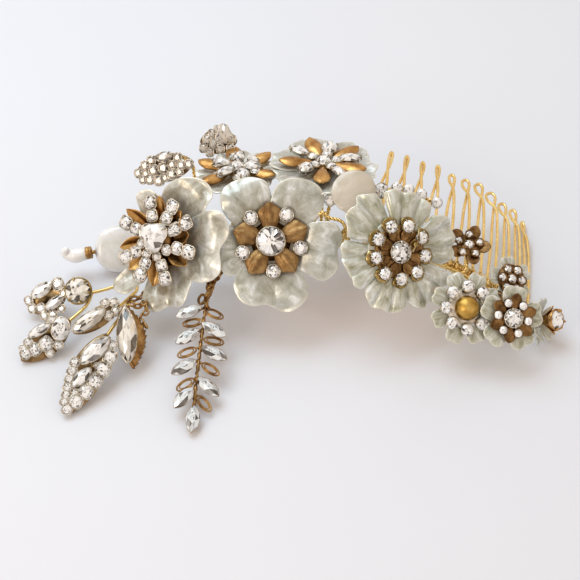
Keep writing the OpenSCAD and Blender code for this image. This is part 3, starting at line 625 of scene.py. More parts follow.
def enamel(name, slot, edge, root_shade_colour, stops):
    """Pearly enamel: streaks that run along the petal, paler at its rim, and painted brown shade towards the
    root and wherever the rim value marks shade.
    """
    mat, tree, shader, where = nodes_of(name)
    streak = noise(tree, attribute(tree, "flow", "Vector"), 1.35, 4.0, 0.6, 0.6)
    cloud = noise(tree, where, 95.0, 2.0)
    rim = attribute(tree, "rim")
    # Painted shade: where the rim value is below zero, the colour is browned towards the root's shade colour
    root = map_range(tree, rim, -1.0, 0.0, 0.85, 0.0)
    root_shaded = mixed_colour(tree, root, ramp(tree, mixed(tree, 0.3, streak, cloud), stops), root_shade_colour)
    ripple = mixed(tree, 0.45, streak, noise(tree, where, 900.0, 3.0))
    inputs = {
        "Base Color": mixed_colour(tree, rim, root_shaded, edge),
        "Roughness": spread(tree, cloud, 0.22, 0.4),
        "Normal": bump(tree, ripple, 0.36, 0.0004),
        "Metallic": 0.4,
        "IOR": 1.6,
        "Coat Weight": 0.6,
        "Coat Roughness": 0.13,
        "Sheen Weight": 0.25,
        "Sheen Roughness": 0.4,
        "Sheen Tint": (0.93, 0.97, 1.0, 1),
    }
    fill(tree, shader, inputs)
    return mat, slot


# Colours of the painted facet reflections, from the darkest tone to a white glint
FACET_REFLECTION_COLOURS = [
    (0.0, 0.02, 0.017, 0.014), (0.25, 0.17, 0.145, 0.125), (0.55, 0.5, 0.48, 0.47), (0.8, 0.86, 0.87, 0.9),
    (1.0, 1.0, 1.0, 1.0),
]


def crystal(name, slot, *tint):
    mat, tree, shader, where = nodes_of(name)
    speck = noise(tree, where, 500.0, 2.0, 0.5)
    # Base colour: each facet's painted reflection tone, with faint specks
    tones = {0: attribute(tree, "tone"), 1: spread(tree, speck, -0.05, 0.04)}
    total = add_node(tree, "ShaderNodeMath", tones, operation="ADD").outputs[0]
    stops = [(at, *[a * b for a, b in zip(colour, tint)]) for at, *colour in FACET_REFLECTION_COLOURS]
    inputs = {
        "Base Color": ramp(tree, total, stops),
        "Metallic": 0.25,
        "Roughness": 0.12,
        "IOR": 1.6,
        "Coat Weight": 1.0,
        "Coat Roughness": 0.02,
        "Coat IOR": 1.6,
    }
    fill(tree, shader, inputs)
    return mat, slot


def nacre(name, stops):
    mat, tree, shader, where = nodes_of(name)
    cloud = noise(tree, where, 120.0, 4.0, 0.6, 1.2)
    inputs = {
        "Base Color": ramp(tree, cloud, stops),
        "Roughness": spread(tree, cloud, 0.16, 0.3),
        "Normal": bump(tree, noise(tree, where, 420.0, 3.0), 0.2, 0.0003),
        "Subsurface Weight": 0.15,
        "Subsurface Radius": (0.002, 0.0018, 0.0015),
        "Coat Weight": 0.9,
        "Coat Roughness": 0.08,
        "Sheen Weight": 0.3,
    }
    fill(tree, shader, inputs)
    return mat, name


# Each look is a material with the slot that most of its pieces have; a stop is a place and a colour
BRIGHT_GOLD = metal("bright gold wire", (0.22, 0.3), 200.0, [
    (0.3, 0.80, 0.56, 0.20), (0.55, 0.94, 0.71, 0.31), (0.75, 1.0, 0.83, 0.46)], 0.06, slot="comb_wire")
ANTIQUE = metal("antique matte gold", (0.28, 0.44), 330.0, [
    (0.25, 0.18, 0.09, 0.03), (0.45, 0.44, 0.25, 0.09), (0.62, 0.60, 0.36, 0.14), (0.8, 0.76, 0.5, 0.22)])
LEAF_GOLD = metal("pressed gold leaf", (0.26, 0.42), 300.0, [
    (0.25, 0.22, 0.10, 0.03), (0.45, 0.50, 0.27, 0.09), (0.62, 0.70, 0.43, 0.16), (0.8, 0.86, 0.60, 0.27)])
KITE_GOLD = metal("matte gold petal", (0.42, 0.56), 420.0, [
    (0.3, 0.19, 0.10, 0.04), (0.5, 0.37, 0.22, 0.09), (0.7, 0.56, 0.37, 0.17)], 0.5)
PLATE_BRASS = metal("aged brass plate", (0.28, 0.42), 420.0, [
    (0.3, 0.10, 0.06, 0.03), (0.5, 0.26, 0.17, 0.08), (0.75, 0.52, 0.38, 0.19)])
DOME_GOLD = metal("brushed gold dome", (0.32, 0.46), 300.0, [
    (0.3, 0.30, 0.16, 0.035), (0.5, 0.58, 0.35, 0.08), (0.75, 0.80, 0.57, 0.19)], 0.5, 1800.0)
CUP_GOLD = metal("olive gold cup", (0.22, 0.36), 420.0, [
    (0.28, 0.13, 0.08, 0.025), (0.5, 0.38, 0.27, 0.10), (0.75, 0.72, 0.57, 0.28)])
BRONZE = metal("dark bronze", (0.24, 0.4), 500.0, [
    (0.3, 0.07, 0.035, 0.016), (0.5, 0.22, 0.12, 0.045), (0.75, 0.46, 0.28, 0.12)])
VINE_BRONZE = metal("vine bronze", (0.25, 0.4), 450.0, [
    (0.3, 0.13, 0.06, 0.022), (0.5, 0.35, 0.195, 0.07), (0.72, 0.62, 0.40, 0.17)])
SILVER = metal("pale setting metal", (0.16, 0.3), 600.0, [
    (0.3, 0.26, 0.22, 0.17), (0.5, 0.58, 0.53, 0.45), (0.75, 0.86, 0.83, 0.77)])
# Each enamel gets its pale rim colour, then its painted root shade colour, then its stops
IVORY = enamel("ivory enamel", "ivory_petals", (0.84, 0.82, 0.73), (0.30, 0.22, 0.12), [
    (0.34, 0.28, 0.25, 0.18), (0.44, 0.45, 0.44, 0.37), (0.54, 0.66, 0.67, 0.62), (0.64, 0.98, 1.0, 1.0)])
GREY_IVORY = enamel("grey ivory enamel", "ivory_petals", (0.76, 0.75, 0.67), (0.26, 0.22, 0.14), [
    (0.34, 0.29, 0.29, 0.23), (0.44, 0.45, 0.46, 0.405), (0.54, 0.59, 0.61, 0.58), (0.64, 0.86, 0.90, 0.92)])
SAGE = enamel("sage enamel", "sage_petals", (0.77, 0.76, 0.65), (0.24, 0.22, 0.13), [
    (0.34, 0.25, 0.25, 0.165), (0.44, 0.44, 0.45, 0.35), (0.54, 0.61, 0.63, 0.57), (0.65, 0.88, 0.92, 0.93)])
CRYSTAL = crystal("clear crystal", "clear_stones", 1.0, 1.0, 1.0)
CHAMPAGNE = crystal("champagne crystal", "champagne_stones", 0.97, 0.94, 0.87)
COOL = crystal("cool crystal", "clear_stones", 0.90, 0.96, 1.0)
SMOKED = crystal("smoked crystal", "champagne_stones", 0.66, 0.60, 0.53)
PEARL = nacre("pearl", [(0.3, 0.70, 0.70, 0.66), (0.5, 0.82, 0.83, 0.84), (0.7, 0.94, 0.94, 0.97)])
SHELL = nacre("shell", [(0.3, 0.44, 0.385, 0.30), (0.5, 0.56, 0.50, 0.41), (0.7, 0.69, 0.64, 0.56)])


# ---- comb and wires
BAR_ENDS = (54.1, -2.55)
BAR_WIRE = 0.66
LAST_TOOTH = 52.9
PITCH = degrees(4.45 / ARCH_RADIUS)
TOOTH_BEND = 10
EYE_HALF = 1.2
# Share of the tooth's length, then how far each wire stands to the side and above the other
TOOTH_STATIONS = [
    (0, 1.2, 0), (0.36, 1, 0), (0.6, 0.66, 0.25), (0.78, 0, 0.5), (0.88, -0.9, 0.3), (0.96, -1, 0.05),
]
TOOTH_TIP = (0.995, -0.3, 0)
TOOTH_BULGES = [0.4, 0.4, 0.45, 0.5, 1.1, 1.5, 1.7, 2.1, 1.7, 1.5, 0.7]
TOOTH_LENGTHS = [35.6, 34.9, 33.8, 34.2, 32.8, 33.5, 34.9, 34.7, 34.0, 35.5, 34.6]
TOOTH_WIRE = 0.4
HOOK_WIRE = 0.3
HOOK_RADIUS = 1.12
HOOK_STEPS = 25
CLEARANCE = 0.02


def tooth_leg(angle, long, station, way, bulge, wander):
    """Point of one wire of a tooth; past the crossing one wire bulges to the left."""
    share, side, lift = station
    a = radians(angle)
    across, up = way * side, way * lift
    if side < 0:
        across, up = (0.35, -lift) if way < 0 else (bulge * side * cos(a), bulge * side * sin(a) + lift)
    across += wander * share
    bend, full = radians(TOOTH_BEND * share), radians(TOOTH_BEND)
    radius = ARCH_RADIUS - long * (1 - cos(bend)) / full + up
    x, z = across * cos(a) + radius * sin(a), radius * cos(a) - across * sin(a)
    return tilted(x, 0.55 + long * sin(bend) / full, z) - FOOT


def tooth_hook(angle, side):
    """End of a tooth's wire, wound round the bar and slipping along it."""
    root = angle + degrees(EYE_HALF * side / ARCH_RADIUS)
    hook = []
    for k in range(HOOK_STEPS + 1):
        w = radians(-90 + 640 * k / HOOK_STEPS) + pi / 2
        a = root + degrees(side * (0.35 - 0.5 * k / HOOK_STEPS) / ARCH_RADIUS)
        hook.append(arch_point(a, HOOK_RADIUS * cos(w), ARCH_RADIUS + HOOK_RADIUS * sin(w)) - FOOT)
    return np.array(hook)


def above_floor(path, r):
    path[:, 2] = np.maximum(path[:, 2], r + CLEARANCE)
    return path


def build_comb():
    arc = [arch_point(a, 0, ARCH_RADIUS) - FOOT for a in np.linspace(*BAR_ENDS, 70)]
    bar, wraps, teeth = shapes(3)
    bar.tube(arc, BAR_WIRE, 12)
    make("comb_bar_wire", bar, BRIGHT_GOLD, "comb_bar")
    wraps.tube(coil_path(np.array(arc), 0.86, 0.62, 10), 0.16, 5)
    make("comb_bar_wrapping", wraps, BRIGHT_GOLD)
    stations = [(s, 1) for s in TOOTH_STATIONS + [TOOTH_TIP]] + [(s, -1) for s in TOOTH_STATIONS[::-1]]
    for k, (long, bulge) in enumerate(zip(TOOTH_LENGTHS, TOOTH_BULGES)):
        angle = LAST_TOOTH - (len(TOOTH_LENGTHS) - 1 - k) * PITCH
        wander = RNG.uniform(-0.12, 0.12)
        path = catmull([tooth_leg(angle, long, s, way, bulge, wander) for s, way in stations], 8)
        teeth.tube(above_floor(path, TOOTH_WIRE), TOOTH_WIRE, 9)
        for side in (1, -1):
            teeth.tube(above_floor(tooth_hook(angle, side), HOOK_WIRE), HOOK_WIRE, 6)
    make("comb_teeth_wires", teeth, BRIGHT_GOLD, *["tooth_%02d" % k for k in range(1, 12)])


BOW_LEFT = [
    (7.5, -1.5, 18), (0, -1.4, 16.3), (-8, -1.4, 14.3), (-16, -1.6, 12.4), (-24, -1.4, 10.8),
    (-30, -3.5, 8.6), (-35, -8, 6.8), (-40, -13.5, 6.4), (-45.5, -17.6, 6.7), (-47.4, -18.3, 7.3),
]
# Each flower's stem: how far it runs straight down, then its way to the bar
FLOWER_STEMS = [
    ("left", 4, [(-27.4, -2.4, 9.6)]),
    ("middle", 4, [(-4.2, -1.4, 15.4)]),
    ("right", 3, [(23.8, -1.4, 19.8)]),
    ("rear_left", 2, [(-15.3, 7.2, 19.6), (-15, 3, 15.4), (-14.6, -1.6, 12.8)]),
    ("rear_right", 2, [(5.6, 11.2, 22.6), (6.6, 5, 19.2), (7.4, -1.5, 18.2)]),
    ("dome", 2.4, [(43.6, -0.9, 13.4)]),
    ("six", 3, [(53.4, -0.9, 6.3)]),
    ("end", 1.6, [(57.2, -0.6, 2.2)]),
    ("cluster", 1.2, [(52.3, 2.4, 9.6), (52.2, 1, 9.35), (52, -0.8, 8.3)]),
    ("bronze", 1.2, [(42.2, -0.4, 16.6), (41.2, -0.9, 15.2)]),
    ("shell", 2, [(14, 1, 25), (14.2, -1.4, 19.4)]),
]
LEAF_STEMS = [
    ("rear_leaf", 1, [(-25.6, 9, 16.4), (-24.6, 3, 12.4), (-24, -1.4, 10.8)]),
    ("crown_leaf", 1, [(-16.6, 15, 21.4), (-15.4, 8, 19.8)]),
]
TWIG_STEMS = [
    [(20.6, -1.5, 19.9), (20.9, 4, 25.6), (20.6, 7.2, 28.9),
     (23.6, 8.8, 29.6), (28.6, 9.6, 27.9), (33, 9.8, 26)],
    [(9, 3, 28.1), (8.4, 1.6, 24), (8, -1.4, 18.4)],
]
LEAF_RODS = [
    ("upper_leaf", 1, [(-45.5, -17.6, 6.7)]),
    ("lower_leaf", 1.2, [(-45.2, -21.5, 6.2), (-45, -17.4, 6.7)]),
    ("long_leaf", 2, [(-35.6, -24, 7.4), (-35.2, -17, 7), (-35, -13.5, 6.2), (-36.4, -9.6, 6.6)]),
    ("side_leaf", 0, [(-37, -20.4, 6.9), (-35.2, -15, 6.4)]),
    ("saw_leaf", 1.4, [(-34.6, -20, 8), (-35.2, -17, 7)]),
]


ROD_WIRE = 0.42
STEM_STRAND = 0.27


def flower_stem(name, straight, path):
    return [spot(PLACES[name], 0, 0, -0.05), spot(PLACES[name], 0, 0, -straight)] + path


def leaf_stem(name, start, path):
    return [spot(PLACES[name], start, 0, -0.6)] + path


def build_frame():
    bow = placed([arch_point(a, -1.75, ARCH_RADIUS) for a in range(54, -7, -6)] + BOW_LEFT, 5)
    shape = Shape()
    girth = np.interp(np.arange(len(bow)) - len(bow), [-18, -12], [0.56, ROD_WIRE])
    shape.tube(bow, girth, 10)
    shape.tube(coil_path(bow[:-16], 0.68, 1.5, 10), 0.17, 5)
    coin = [spot(PLACES["coin"], 0, y, z) for y, z in ((3, -2.62), (3, -3.6), (7.4, -2.4))]
    stems = [flower_stem(*row) for row in FLOWER_STEMS] + [coin + [(-36.4, -2, 6.3), (-35, -8, 6.8)]]
    for stem in stems + [leaf_stem(*row) for row in LEAF_STEMS] + TWIG_STEMS:
        twisted_pair(shape, placed(stem, 6), STEM_STRAND, 2.2)
    for row in LEAF_RODS:
        shape.tube(placed(leaf_stem(*row), 6), ROD_WIRE, 10)
    make("frame_wires", shape, BRIGHT_GOLD, "wire_frame", slot="bronze_wire")


# ---- front flowers
def heart(reach, notch, power):
    """Rim of a petal with a dent in its middle."""

    def rim(x):
        dent = 1 - notch * np.exp(-((x / 0.16) ** 2))
        return reach * np.sqrt(np.clip(1 - np.abs(x) ** power, 0, 1)) * dent

    return rim


def cupped(radius, cup, flat, crease, waves, phase, curl, pillow, roll=0.0):
    """Relief of a petal: flat in the middle, cupped outward, creased along and wavy at its rim."""

    def height(x, r):
        share = r / radius
        rise = np.clip((share - flat) / (1 - flat), 0, 1.2)
        z = cup * (rise**2 - roll * np.clip((rise - 0.65) / 0.35, 0, 1.3) ** 2)
        z = z - crease * np.exp(-((x / 0.17) ** 2)) * rise**1.3
        z = z + waves * np.sin(2.6 * pi * x + phase) * rise**2
        z = z + pillow * (1 - x**2) * np.sin(pi * np.clip(rise, 0, 1)) ** 0.8
        return z + curl * np.clip((share - 0.8) / 0.2, 0, 1) ** 2 * np.cos(1.7 * x + phase)

    return height


def fluted(phase):
    """Relief of a right flower petal: three channels that deepen to its scalloped rim."""

    def height(x, r):
        rise = np.clip((r / 14.3 - 0.36) / 0.64, 0, 1.15)
        flute = np.abs(np.cos(1.5 * pi * x)) ** 0.8
        z = -0.95 * rise**2 + 1.3 * (flute - 0.5) * rise**1.1
        z = z + 0.05 * np.sin(26 * pi * x + phase) * rise
        return z + 0.3 * np.sin(phase * 3) * rise - 0.5 * np.abs(x) ** 6 * rise

    return height


def channel_shade(x, v):
    return 0.6 * (1 - np.abs(np.cos(1.5 * pi * x))) ** 2.2 * np.clip((v - 0.3) / 0.3, 0, 1) * (1.15 - v)


def fold_shade(x, v):
    return 0.45 * np.exp(-((x / 0.16) ** 2)) * np.clip(1.2 - v, 0, 1) + 0.3 * np.abs(x) ** 8


def small_shade(x, v):
    return 0.55 * np.clip(1.05 - v, 0, 1) * (0.6 + 0.4 * np.cos(7 * x))


# Rim of each petal: angle in degrees and distance from the middle, then lift, phase, curl and crease
LEFT_PETALS = [
    ([(188, 5), (200, 8.9), (210, 12), (221, 12.9), (230, 12.5),
      (239, 10), (252, 6), (262, 4)], 0, 0, 0.4, 0.5),
    ([(124, 6), (137, 12.5), (143, 15.3), (149, 17.6), (163, 17.9), (181, 15.3), (198, 11.5), (206, 7),
      (216, 4)], -0.1, 1.2, -1.1, 1.0),
    ([(48, 5), (59, 9), (63, 12.3), (73, 15.7), (81, 17.2), (89, 17.8), (103, 16.1), (115, 18.1),
      (124, 18.8), (133, 17.8), (138, 15.1), (143, 10), (155, 5)], 0.5, 2.6, 1.0, 0.9),
    ([(-22, 5), (-8, 9), (-1, 12.9), (1, 14.8), (11, 16.5), (18, 16.7), (27, 15.7), (38, 16.3), (47, 15.9),
      (56, 13.9), (63, 12.3), (76, 6)], -0.1, 3.9, 0.3, 1.1),
    ([(-64, 3), (-46, 7), (-36, 11), (-33, 15.6), (-28, 17), (-22, 16.5), (-12, 14.5), (-6, 10), (8, 5)],
     0.2, 5.0, 0.7, 0.4),
]
MIDDLE_PETALS = [
    ([(168, 5), (177, 9.5), (183, 13.4), (192, 14.9), (201, 15.8), (212, 16.3), (221, 16.3), (229, 15.3),
      (239, 12.5), (248, 8), (258, 5)], 0.35, 0.4),
    ([(100, 5), (112, 9.4), (116, 12.2), (122, 14.2), (128, 15.8), (134, 16.6), (142, 16.8), (152, 16.1),
      (161, 15.3), (169, 13.8), (175, 12.2), (180, 9), (190, 5)], 0.6, 1.6),
    ([(34, 5), (44, 9.4), (48, 12.6), (51, 15), (57, 16.1), (66, 16.7), (74, 16.1), (82, 15.6), (90, 16.5),
      (98, 16.2), (106, 15), (111, 12.4), (118, 8), (128, 5)], 0.3, 2.9),
    ([(-60, 5), (-49, 9), (-43, 12.8), (-35, 14.6), (-26, 15.6), (-16, 15.6), (-6, 14.8),
      (3, 15.8), (12, 17), (21, 16.7), (32, 15.6), (38, 13.6), (45, 10), (56, 5)], 0.0, 4.1),
    ([(-125, 6), (-112, 10), (-100, 11.4), (-86, 12), (-72, 12.8), (-62, 13.3), (-52, 12.9), (-46, 11),
      (-38, 6)], -0.45, 5.3),
]
RIGHT_PETALS = [
    [(-118, 12.7), (-111, 13.8), (-102, 13.2), (-97, 13.5),
     (-86, 12.9), (-78, 12.6), (-71, 13.1), (-62.5, 12.2)],
    [(181.5, 12.6), (186, 14.2), (193, 14.9), (201, 15.7), (207, 14.5), (214, 15), (221, 14.7), (229, 13.6),
     (237.5, 12.6)],
    [(120, 12), (126, 13.4), (135, 13.8), (141, 13.6), (147, 14.1), (155, 13.6), (161, 13.8), (169, 14.3),
     (177, 13.9)],
    [(60.5, 12.2), (65, 13.5), (72, 14.5), (79, 14.4), (86, 15.1), (93, 14.8), (101, 15.2), (109, 14.5),
     (116.5, 12.4)],
    [(-0.5, 12), (4, 13.4), (12, 14.5), (17, 14.2), (23, 14.8),
     (31, 13.8), (37, 13.9), (45, 14.6), (51, 13.7), (55, 12)],
    [(-58.5, 11.4), (-54, 12.6), (-47, 13.4), (-40, 13.8), (-33, 13.4), (-26, 13.9), (-18, 13.8), (-10, 13),
     (-5, 12)],
]


def traced(rim, spare=0.0, corner=0.92):
    """Middle angle, half width and reach of a petal whose rim runs through a table of points."""
    line = catmull(rim, 8)
    mid, half = (rim[0][0] + rim[-1][0]) / 2, (rim[-1][0] - rim[0][0]) / 2 + spare

    def reach(x):
        far = np.interp(mid + half * x, line[:, 0], line[:, 1])
        return far * np.sqrt(1 - 0.9 * np.clip((np.abs(x) - corner) / (1 - corner), 0, 1) ** 2)

    return mid, half, reach


STAR_ARMS = [209, 171, 138, 94, 36, 352, 315, 262]
STAR_EXTRAS = [(0.9, 3.5, 1.1), (3.2, 1.6, 0.95), (3.7, -1.2, 0.95), (1.9, -3.4, 0.9), (-3.4, 3.1, 0.85)]
STAR_FOOT = [(0.05, 0.75), (1.5, 0.75), (1.1, 2.4), (1.6, 4.0), (3.7, 4.3), (3.5, 4.8), (0.05, 4.8)]
STAR_DISH = [(0.05, 0.7), (4.2, 0.8), (6.2, 1.5), (6.4, 1.9), (5.9, 1.9), (4.0, 1.2), (0.05, 1.1)]
STAR_SEAT = 5.42


def build_left_flower():
    m = PLACES["left"]
    petals, gold, stones, leaves, settings = shapes(5)
    for k, (rim, lift, phase, curl, crease) in enumerate(LEFT_PETALS):
        relief = cupped(16.8, 5.2, 0.2, crease, 0.55, phase, curl, 0.7, 0.3)
        petal(petals, raised(m, lift), *traced(rim), relief, 64, 20, 0.3, 11 + k, fold_shade)
    make("left_petals", petals, IVORY, "left_flower_petals")
    gold.lathe(m, STAR_FOOT, 24)
    gold.lathe(m, STAR_DISH, 30)
    for k, a in enumerate(STAR_ARMS):
        arm = m @ turn("Z", a)
        gold.tube([(1, 0, 4.35), (6, 0, 4.3), (9.6, 0, 4.3)], [0.5, 0.5, 0.4], 8, arm)
        for r, size in ((6, 1.3), (9.1, 1.47)):
            seed = 40 + 2 * k + int(r)
            round_gem(stones, settings, arm @ shift(r, 0, STAR_SEAT), size, seed, 4, 0.9, 1.15, 0.22)
        leaf = around(m, a - 19, 2, 3.1, -12) @ turn("X", -(16 + 9 * sin(2.3 * k)))
        width = blade_width(4.3, 1.15, 0.02, 0.85)
        leaf_form(leaves, leaf, 8.4 + 0.7 * cos(1.7 * k), width, 0.5, 0.28, 1.1, 1.5, 22, 11, 1.4)
    heart_stone = on(m, -0.9, -0.5, STAR_SEAT + 0.8, 20)
    gem(stones, heart_stone, triangle_edge(3.4), 1.5, 1.0, 9, 0.5, 3, 0.12, 0.25, 2)
    edge_cup(settings, heart_stone, triangle_edge(3.45), 1.0, 1.05)
    claws(settings, heart_stone, ring_spots(3.75, 3, 0), 1.0, 0.26, 0.5, 1.0)
    for k, (x, y, r) in enumerate(STAR_EXTRAS):
        round_gem(stones, settings, m @ shift(x, y, STAR_SEAT + 0.1), r, 70 + k, 4, 0.3, 1.0)
    make("left_star", gold, BRONZE, "left_flower_star")
    make("left_star_settings", settings, SILVER)
    make("left_star_leaves", leaves, LEAF_GOLD)
    make("left_stones", stones, CRYSTAL, "left_flower_stones")


def kite(shape, m, long, wide, rise):
    """Pressed gold petal, widest near its end, with a roof ridge and two side creases."""
    t = np.linspace(0, 1, 21)[:, None]
    y = np.linspace(-1, 1, 17)[None, :]
    half = wide / 2 * np.interp(t, [0, 0.1, 0.42, 0.6, 0.74, 0.9, 1], [0.5, 0.66, 0.93, 1, 0.84, 0.4, 0.16])
    ridge = rise * np.interp(np.abs(y), [0, 0.3, 0.62, 1], [1, 0.78, 0.5, 0])
    ridge = ridge * np.interp(t, [0, 0.25, 0.6, 0.85, 1], [0.45, 0.9, 1, 0.75, 0.3])
    crease = 0.32 * np.exp(-(((np.abs(y) - 0.36) / 0.11) ** 2)) * np.sin(pi * t)
    z = 0.45 + ridge - crease
    px = t * long + 0 * y
    shape.sheet(m, np.stack([px, y * half, z], -1), np.stack([px, y * half * 0.97, 0 * z], -1))


def build_middle_flower():
    m = PLACES["middle"]
    petals, gold, stones, settings, kites = shapes(5)
    for k, (rim, lift, phase) in enumerate(MIDDLE_PETALS):
        relief = cupped(16.0, 0.9, 0.42, 1.2, 0.42, phase, -0.8, 1.3)
        petal(petals, raised(m, lift), *traced(rim), relief, 64, 20, 0.25, 31 + k, fold_shade)
    make("middle_petals", petals, GREY_IVORY, "middle_flower_petals")
    base = raised(m, 1.5)
    gold.lathe(base, [(0.05, -0.85), (2.2, -0.85), (4.6, 0.0), (4.6, 0.3), (0.05, 0.4)], 30)
    centre = raised(base, 2.02)
    gem(stones, centre, round_edge(3.1), 1.3, 1.1, 14, 0.36, 8, 0.26, 0.16, 1)
    collet(settings, centre, 3.15, 1.5, 0.3, steps=36)
    claws(settings, centre, ring_spots(3.15, 8, 10), 0.55, 0.2, 0.32, 1.2)
    for here in ring(base, 5, 38, 3.1, 0.2, -6):
        kite(kites, here, 5.9, 5.7, 1.25)
    gem_ring(stones, settings, base, 5, 4, 7, 1.3, 1.45, 90, 4, 0.0, 1.3, 0.16)
    make("middle_star", gold, BRONZE, "middle_flower_star")
    make("middle_star_kites", kites, KITE_GOLD)
    make("middle_settings", settings, SILVER)
    make("middle_stones", stones, CRYSTAL, "middle_flower_stones")


def build_right_flower():
    m = PLACES["right"]
    petals, gold, stones, dish, settings = shapes(5)
    petals.lathe(m, [(0.05, 0.2), (7.4, 0.2), (7.6, 0.4), (7.2, 0.62), (0.05, 0.62)], 48)
    for k, rim in enumerate(RIGHT_PETALS):
        petal(petals, m, *traced(rim, 2.0, 0.955), fluted(k * 1.3), 76, 20, 0.35, 51 + k, channel_shade)
    make("right_petals", petals, SAGE, "right_flower_petals")
    base = raised(m, 0.8)
    dish.lathe(base, [(0.05, 0.0), (5.7, 0.0), (6.1, 0.35), (5.4, 0.45), (3.4, 0.2), (0.05, 0.25)], 40)
    leaf_ring(dish, base, 8, 10, 2.2, 0.25, -12, 3.4, drop_width(2.3), 0.3, 0.2, 0.3, 0.35, 10, 7)
    round_gem(stones, settings, raised(base, 1.3), 2.3, 4, 6, 0.0, 1.2, 0.22)
    leaves = ring(base, 9, 26, 4.4, 0.2, 4)
    for i, stone in enumerate(ring(base, 9, 26, 6.1, 1.3)):
        round_gem(stones, None, stone, 1.45, 110 + i, dark=0.18)
        collet(gold, stone, 1.45, 1.25, 0.18, flare=0.6, lip=-0.2)
        claws(settings, stone, ring_spots(1.45, 4), 0.42, 0.16, 0.3, 0.8)
        leaf_form(gold, leaves[i], 3.9, drop_width(3.9), 0.1, 0.2, 0.3, -0.3, 12, 9)
    gold.tube([(0.6, 2.3, 2.3), (-1.6, 4.4, 2.5), (-4.6, 5.4, 2.2)], 0.22, 7, base)
    ball = [(0.75 * cos(w) + 0.01, 0.75 * sin(w)) for w in np.linspace(-pi / 2, pi / 2, 9)]
    gold.lathe(m @ shift(-0.6, 3.9, 1.9), ball, 16)
    make("right_dish", dish, BRONZE)
    make("right_cups", gold, CUP_GOLD, "right_flower_cups")
    make("right_claws", settings, SILVER)
    make("right_stones", stones, CRYSTAL, "right_flower_stones")


# ---- rear flowers
def build_rear_flower(name, radius, first, leaves, start, long, wide, look, seed):
    """Two layers of petals with gold drops over them; returns where the stones sit."""
    m = PLACES[name]
    petals, gold = shapes(2)
    for layer, size in enumerate((1.0, 0.95)):
        for i in range(6):
            relief = cupped(radius, 0.7, 0.5, 0.3, 0.3, seed + i, 0.2, 0.35)
            lower = raised(m, -0.45 * layer)
            angle = first + 60 * i + 30 * layer
            petal(petals, lower, angle, 32, heart(radius * size, 0.06, 4), relief, 28, 18, 0.2, seed + i)
    make(name + "_enamel", petals, look, name + "_petals")
    base = raised(m, 1.2)
    gold.lathe(base, [(0.05, -0.45), (1.6, -0.45), (2.2, 0.2), (1.9, 0.6), (0.05, 0.6)], 20)
    for a in leaves:
        leaf = around(base, a, start, 0.1, -5)
        leaf_form(gold, leaf, long, drop_width(wide), 0.95, 0.25, 0.4, 0.0, 20, 13, 2.2)
    make(name + "_drops", gold, LEAF_GOLD, name + "_gold")
    return base


REAR_LEFT_LONG = [(-1.9, -3.4, 60), (-1.9, 3.2, 100), (3.4, -1.6, -20), (2.6, 3.0, 50), (-4.4, -0.4, 0)]
REAR_RIGHT_LONG = [
    (68, 7, 5.4, 2.7), (146, 6, 3.8, 3.6), (224, 6.4, 4.8, 2.6), (290, 6.3, 5.6, 3), (355, 5.6, 4.6, 4.4),
]


def build_rear_flowers():
    drops = [50 + 60 * i for i in range(6)]
    base = build_rear_flower("rear_left", 10.2, 20, drops, 2.5, 7.8, 4.1, IVORY, 61)
    stones, settings = shapes(2)
    round_gem(stones, settings, raised(base, 1.8), 1.9, 130)
    gem_ring(stones, settings, base, 6, 50, 5, 1.52, 1.25, 131, 4, 0.4, 0.7)
    for k, (x, y, heading) in enumerate(REAR_LEFT_LONG):
        long_gem(stones, settings, on(base, x, y, 2.1, heading), 4.7, 2.9, 140 + k, 0.14)
    make("rear_left_settings", settings, SILVER)
    make("rear_left_crystals", stones, CRYSTAL, "rear_left_stones")
    drops = [30, 106, 187, 260, 319]
    base = build_rear_flower("rear_right", 13.2, 30, drops, 1.6, 9.2, 4.4, GREY_IVORY, 71)
    stones, settings = shapes(2)
    round_gem(stones, settings, raised(base, 1.3), 1.8, 140)
    for k, (a, r, long, wide) in enumerate(REAR_RIGHT_LONG):
        long_gem(stones, settings, around(base, a, r, 1.6), long, wide, 141 + k, 0.16)
        round_gem(stones, settings, around(base, a, 3.1, 1.4), 1.1, 150 + k, 4, 0.4, 0.9)
    make("rear_right_settings", settings, SILVER)
    make("rear_right_crystals", stones, CRYSTAL, "rear_right_stones")


# ---- small flowers at the right end
def small_petals(shape, m, count, first, half, reach, cup, seed, notch=0.05, flat=0.35, curl=0.2, nu=22):
    for i in range(count):
        relief = cupped(reach, cup, flat, 0.18, 0.14, seed + i, curl, 0.35)
        rim = heart(reach, notch, 3.5)
        angle = first + 360 * i / count
        petal(shape, m, angle, half, rim, relief, nu, 12, 0.14, seed + i, small_shade, 0.34)


def build_dome_flower():
    m = PLACES["dome"]
    petals, dome, cups, stones = shapes(4)
    small_petals(petals, m, 8, 12, 25, 8.6, 0.2, 81)
    make("dome_petals", petals, SAGE, "dome_flower_petals")
    base = raised(m, 0.95)
    curve = [(max(2.9 * cos(a), 0.02), 0.25 + 2.85 * sin(a)) for a in np.linspace(0, pi / 2, 12)]
    dome.lathe(base, [(0.02, 0.0), (2.95, 0.0)] + curve, 40)
    make("dome_boss", dome, DOME_GOLD, "dome_flower_dome")
    cups.lathe(base, [(0.05, 0.0), (4.6, 0.0), (4.7, 0.4), (3.0, 0.5), (0.05, 0.4)], 32)
    for i, stone in enumerate(ring(base, 8, 34, 5, 1.3)):
        gem(stones, stone, round_edge(1.34), 0.55, 0.4, 8, 0.56, 160 + i, 0.15)
        collet(cups, stone, 1.34, 1.25, 0.2, flare=0.8, lip=0.04)
    make("dome_cups", cups, SILVER)
    make("dome_crystals", stones, CRYSTAL, "dome_flower_stones")


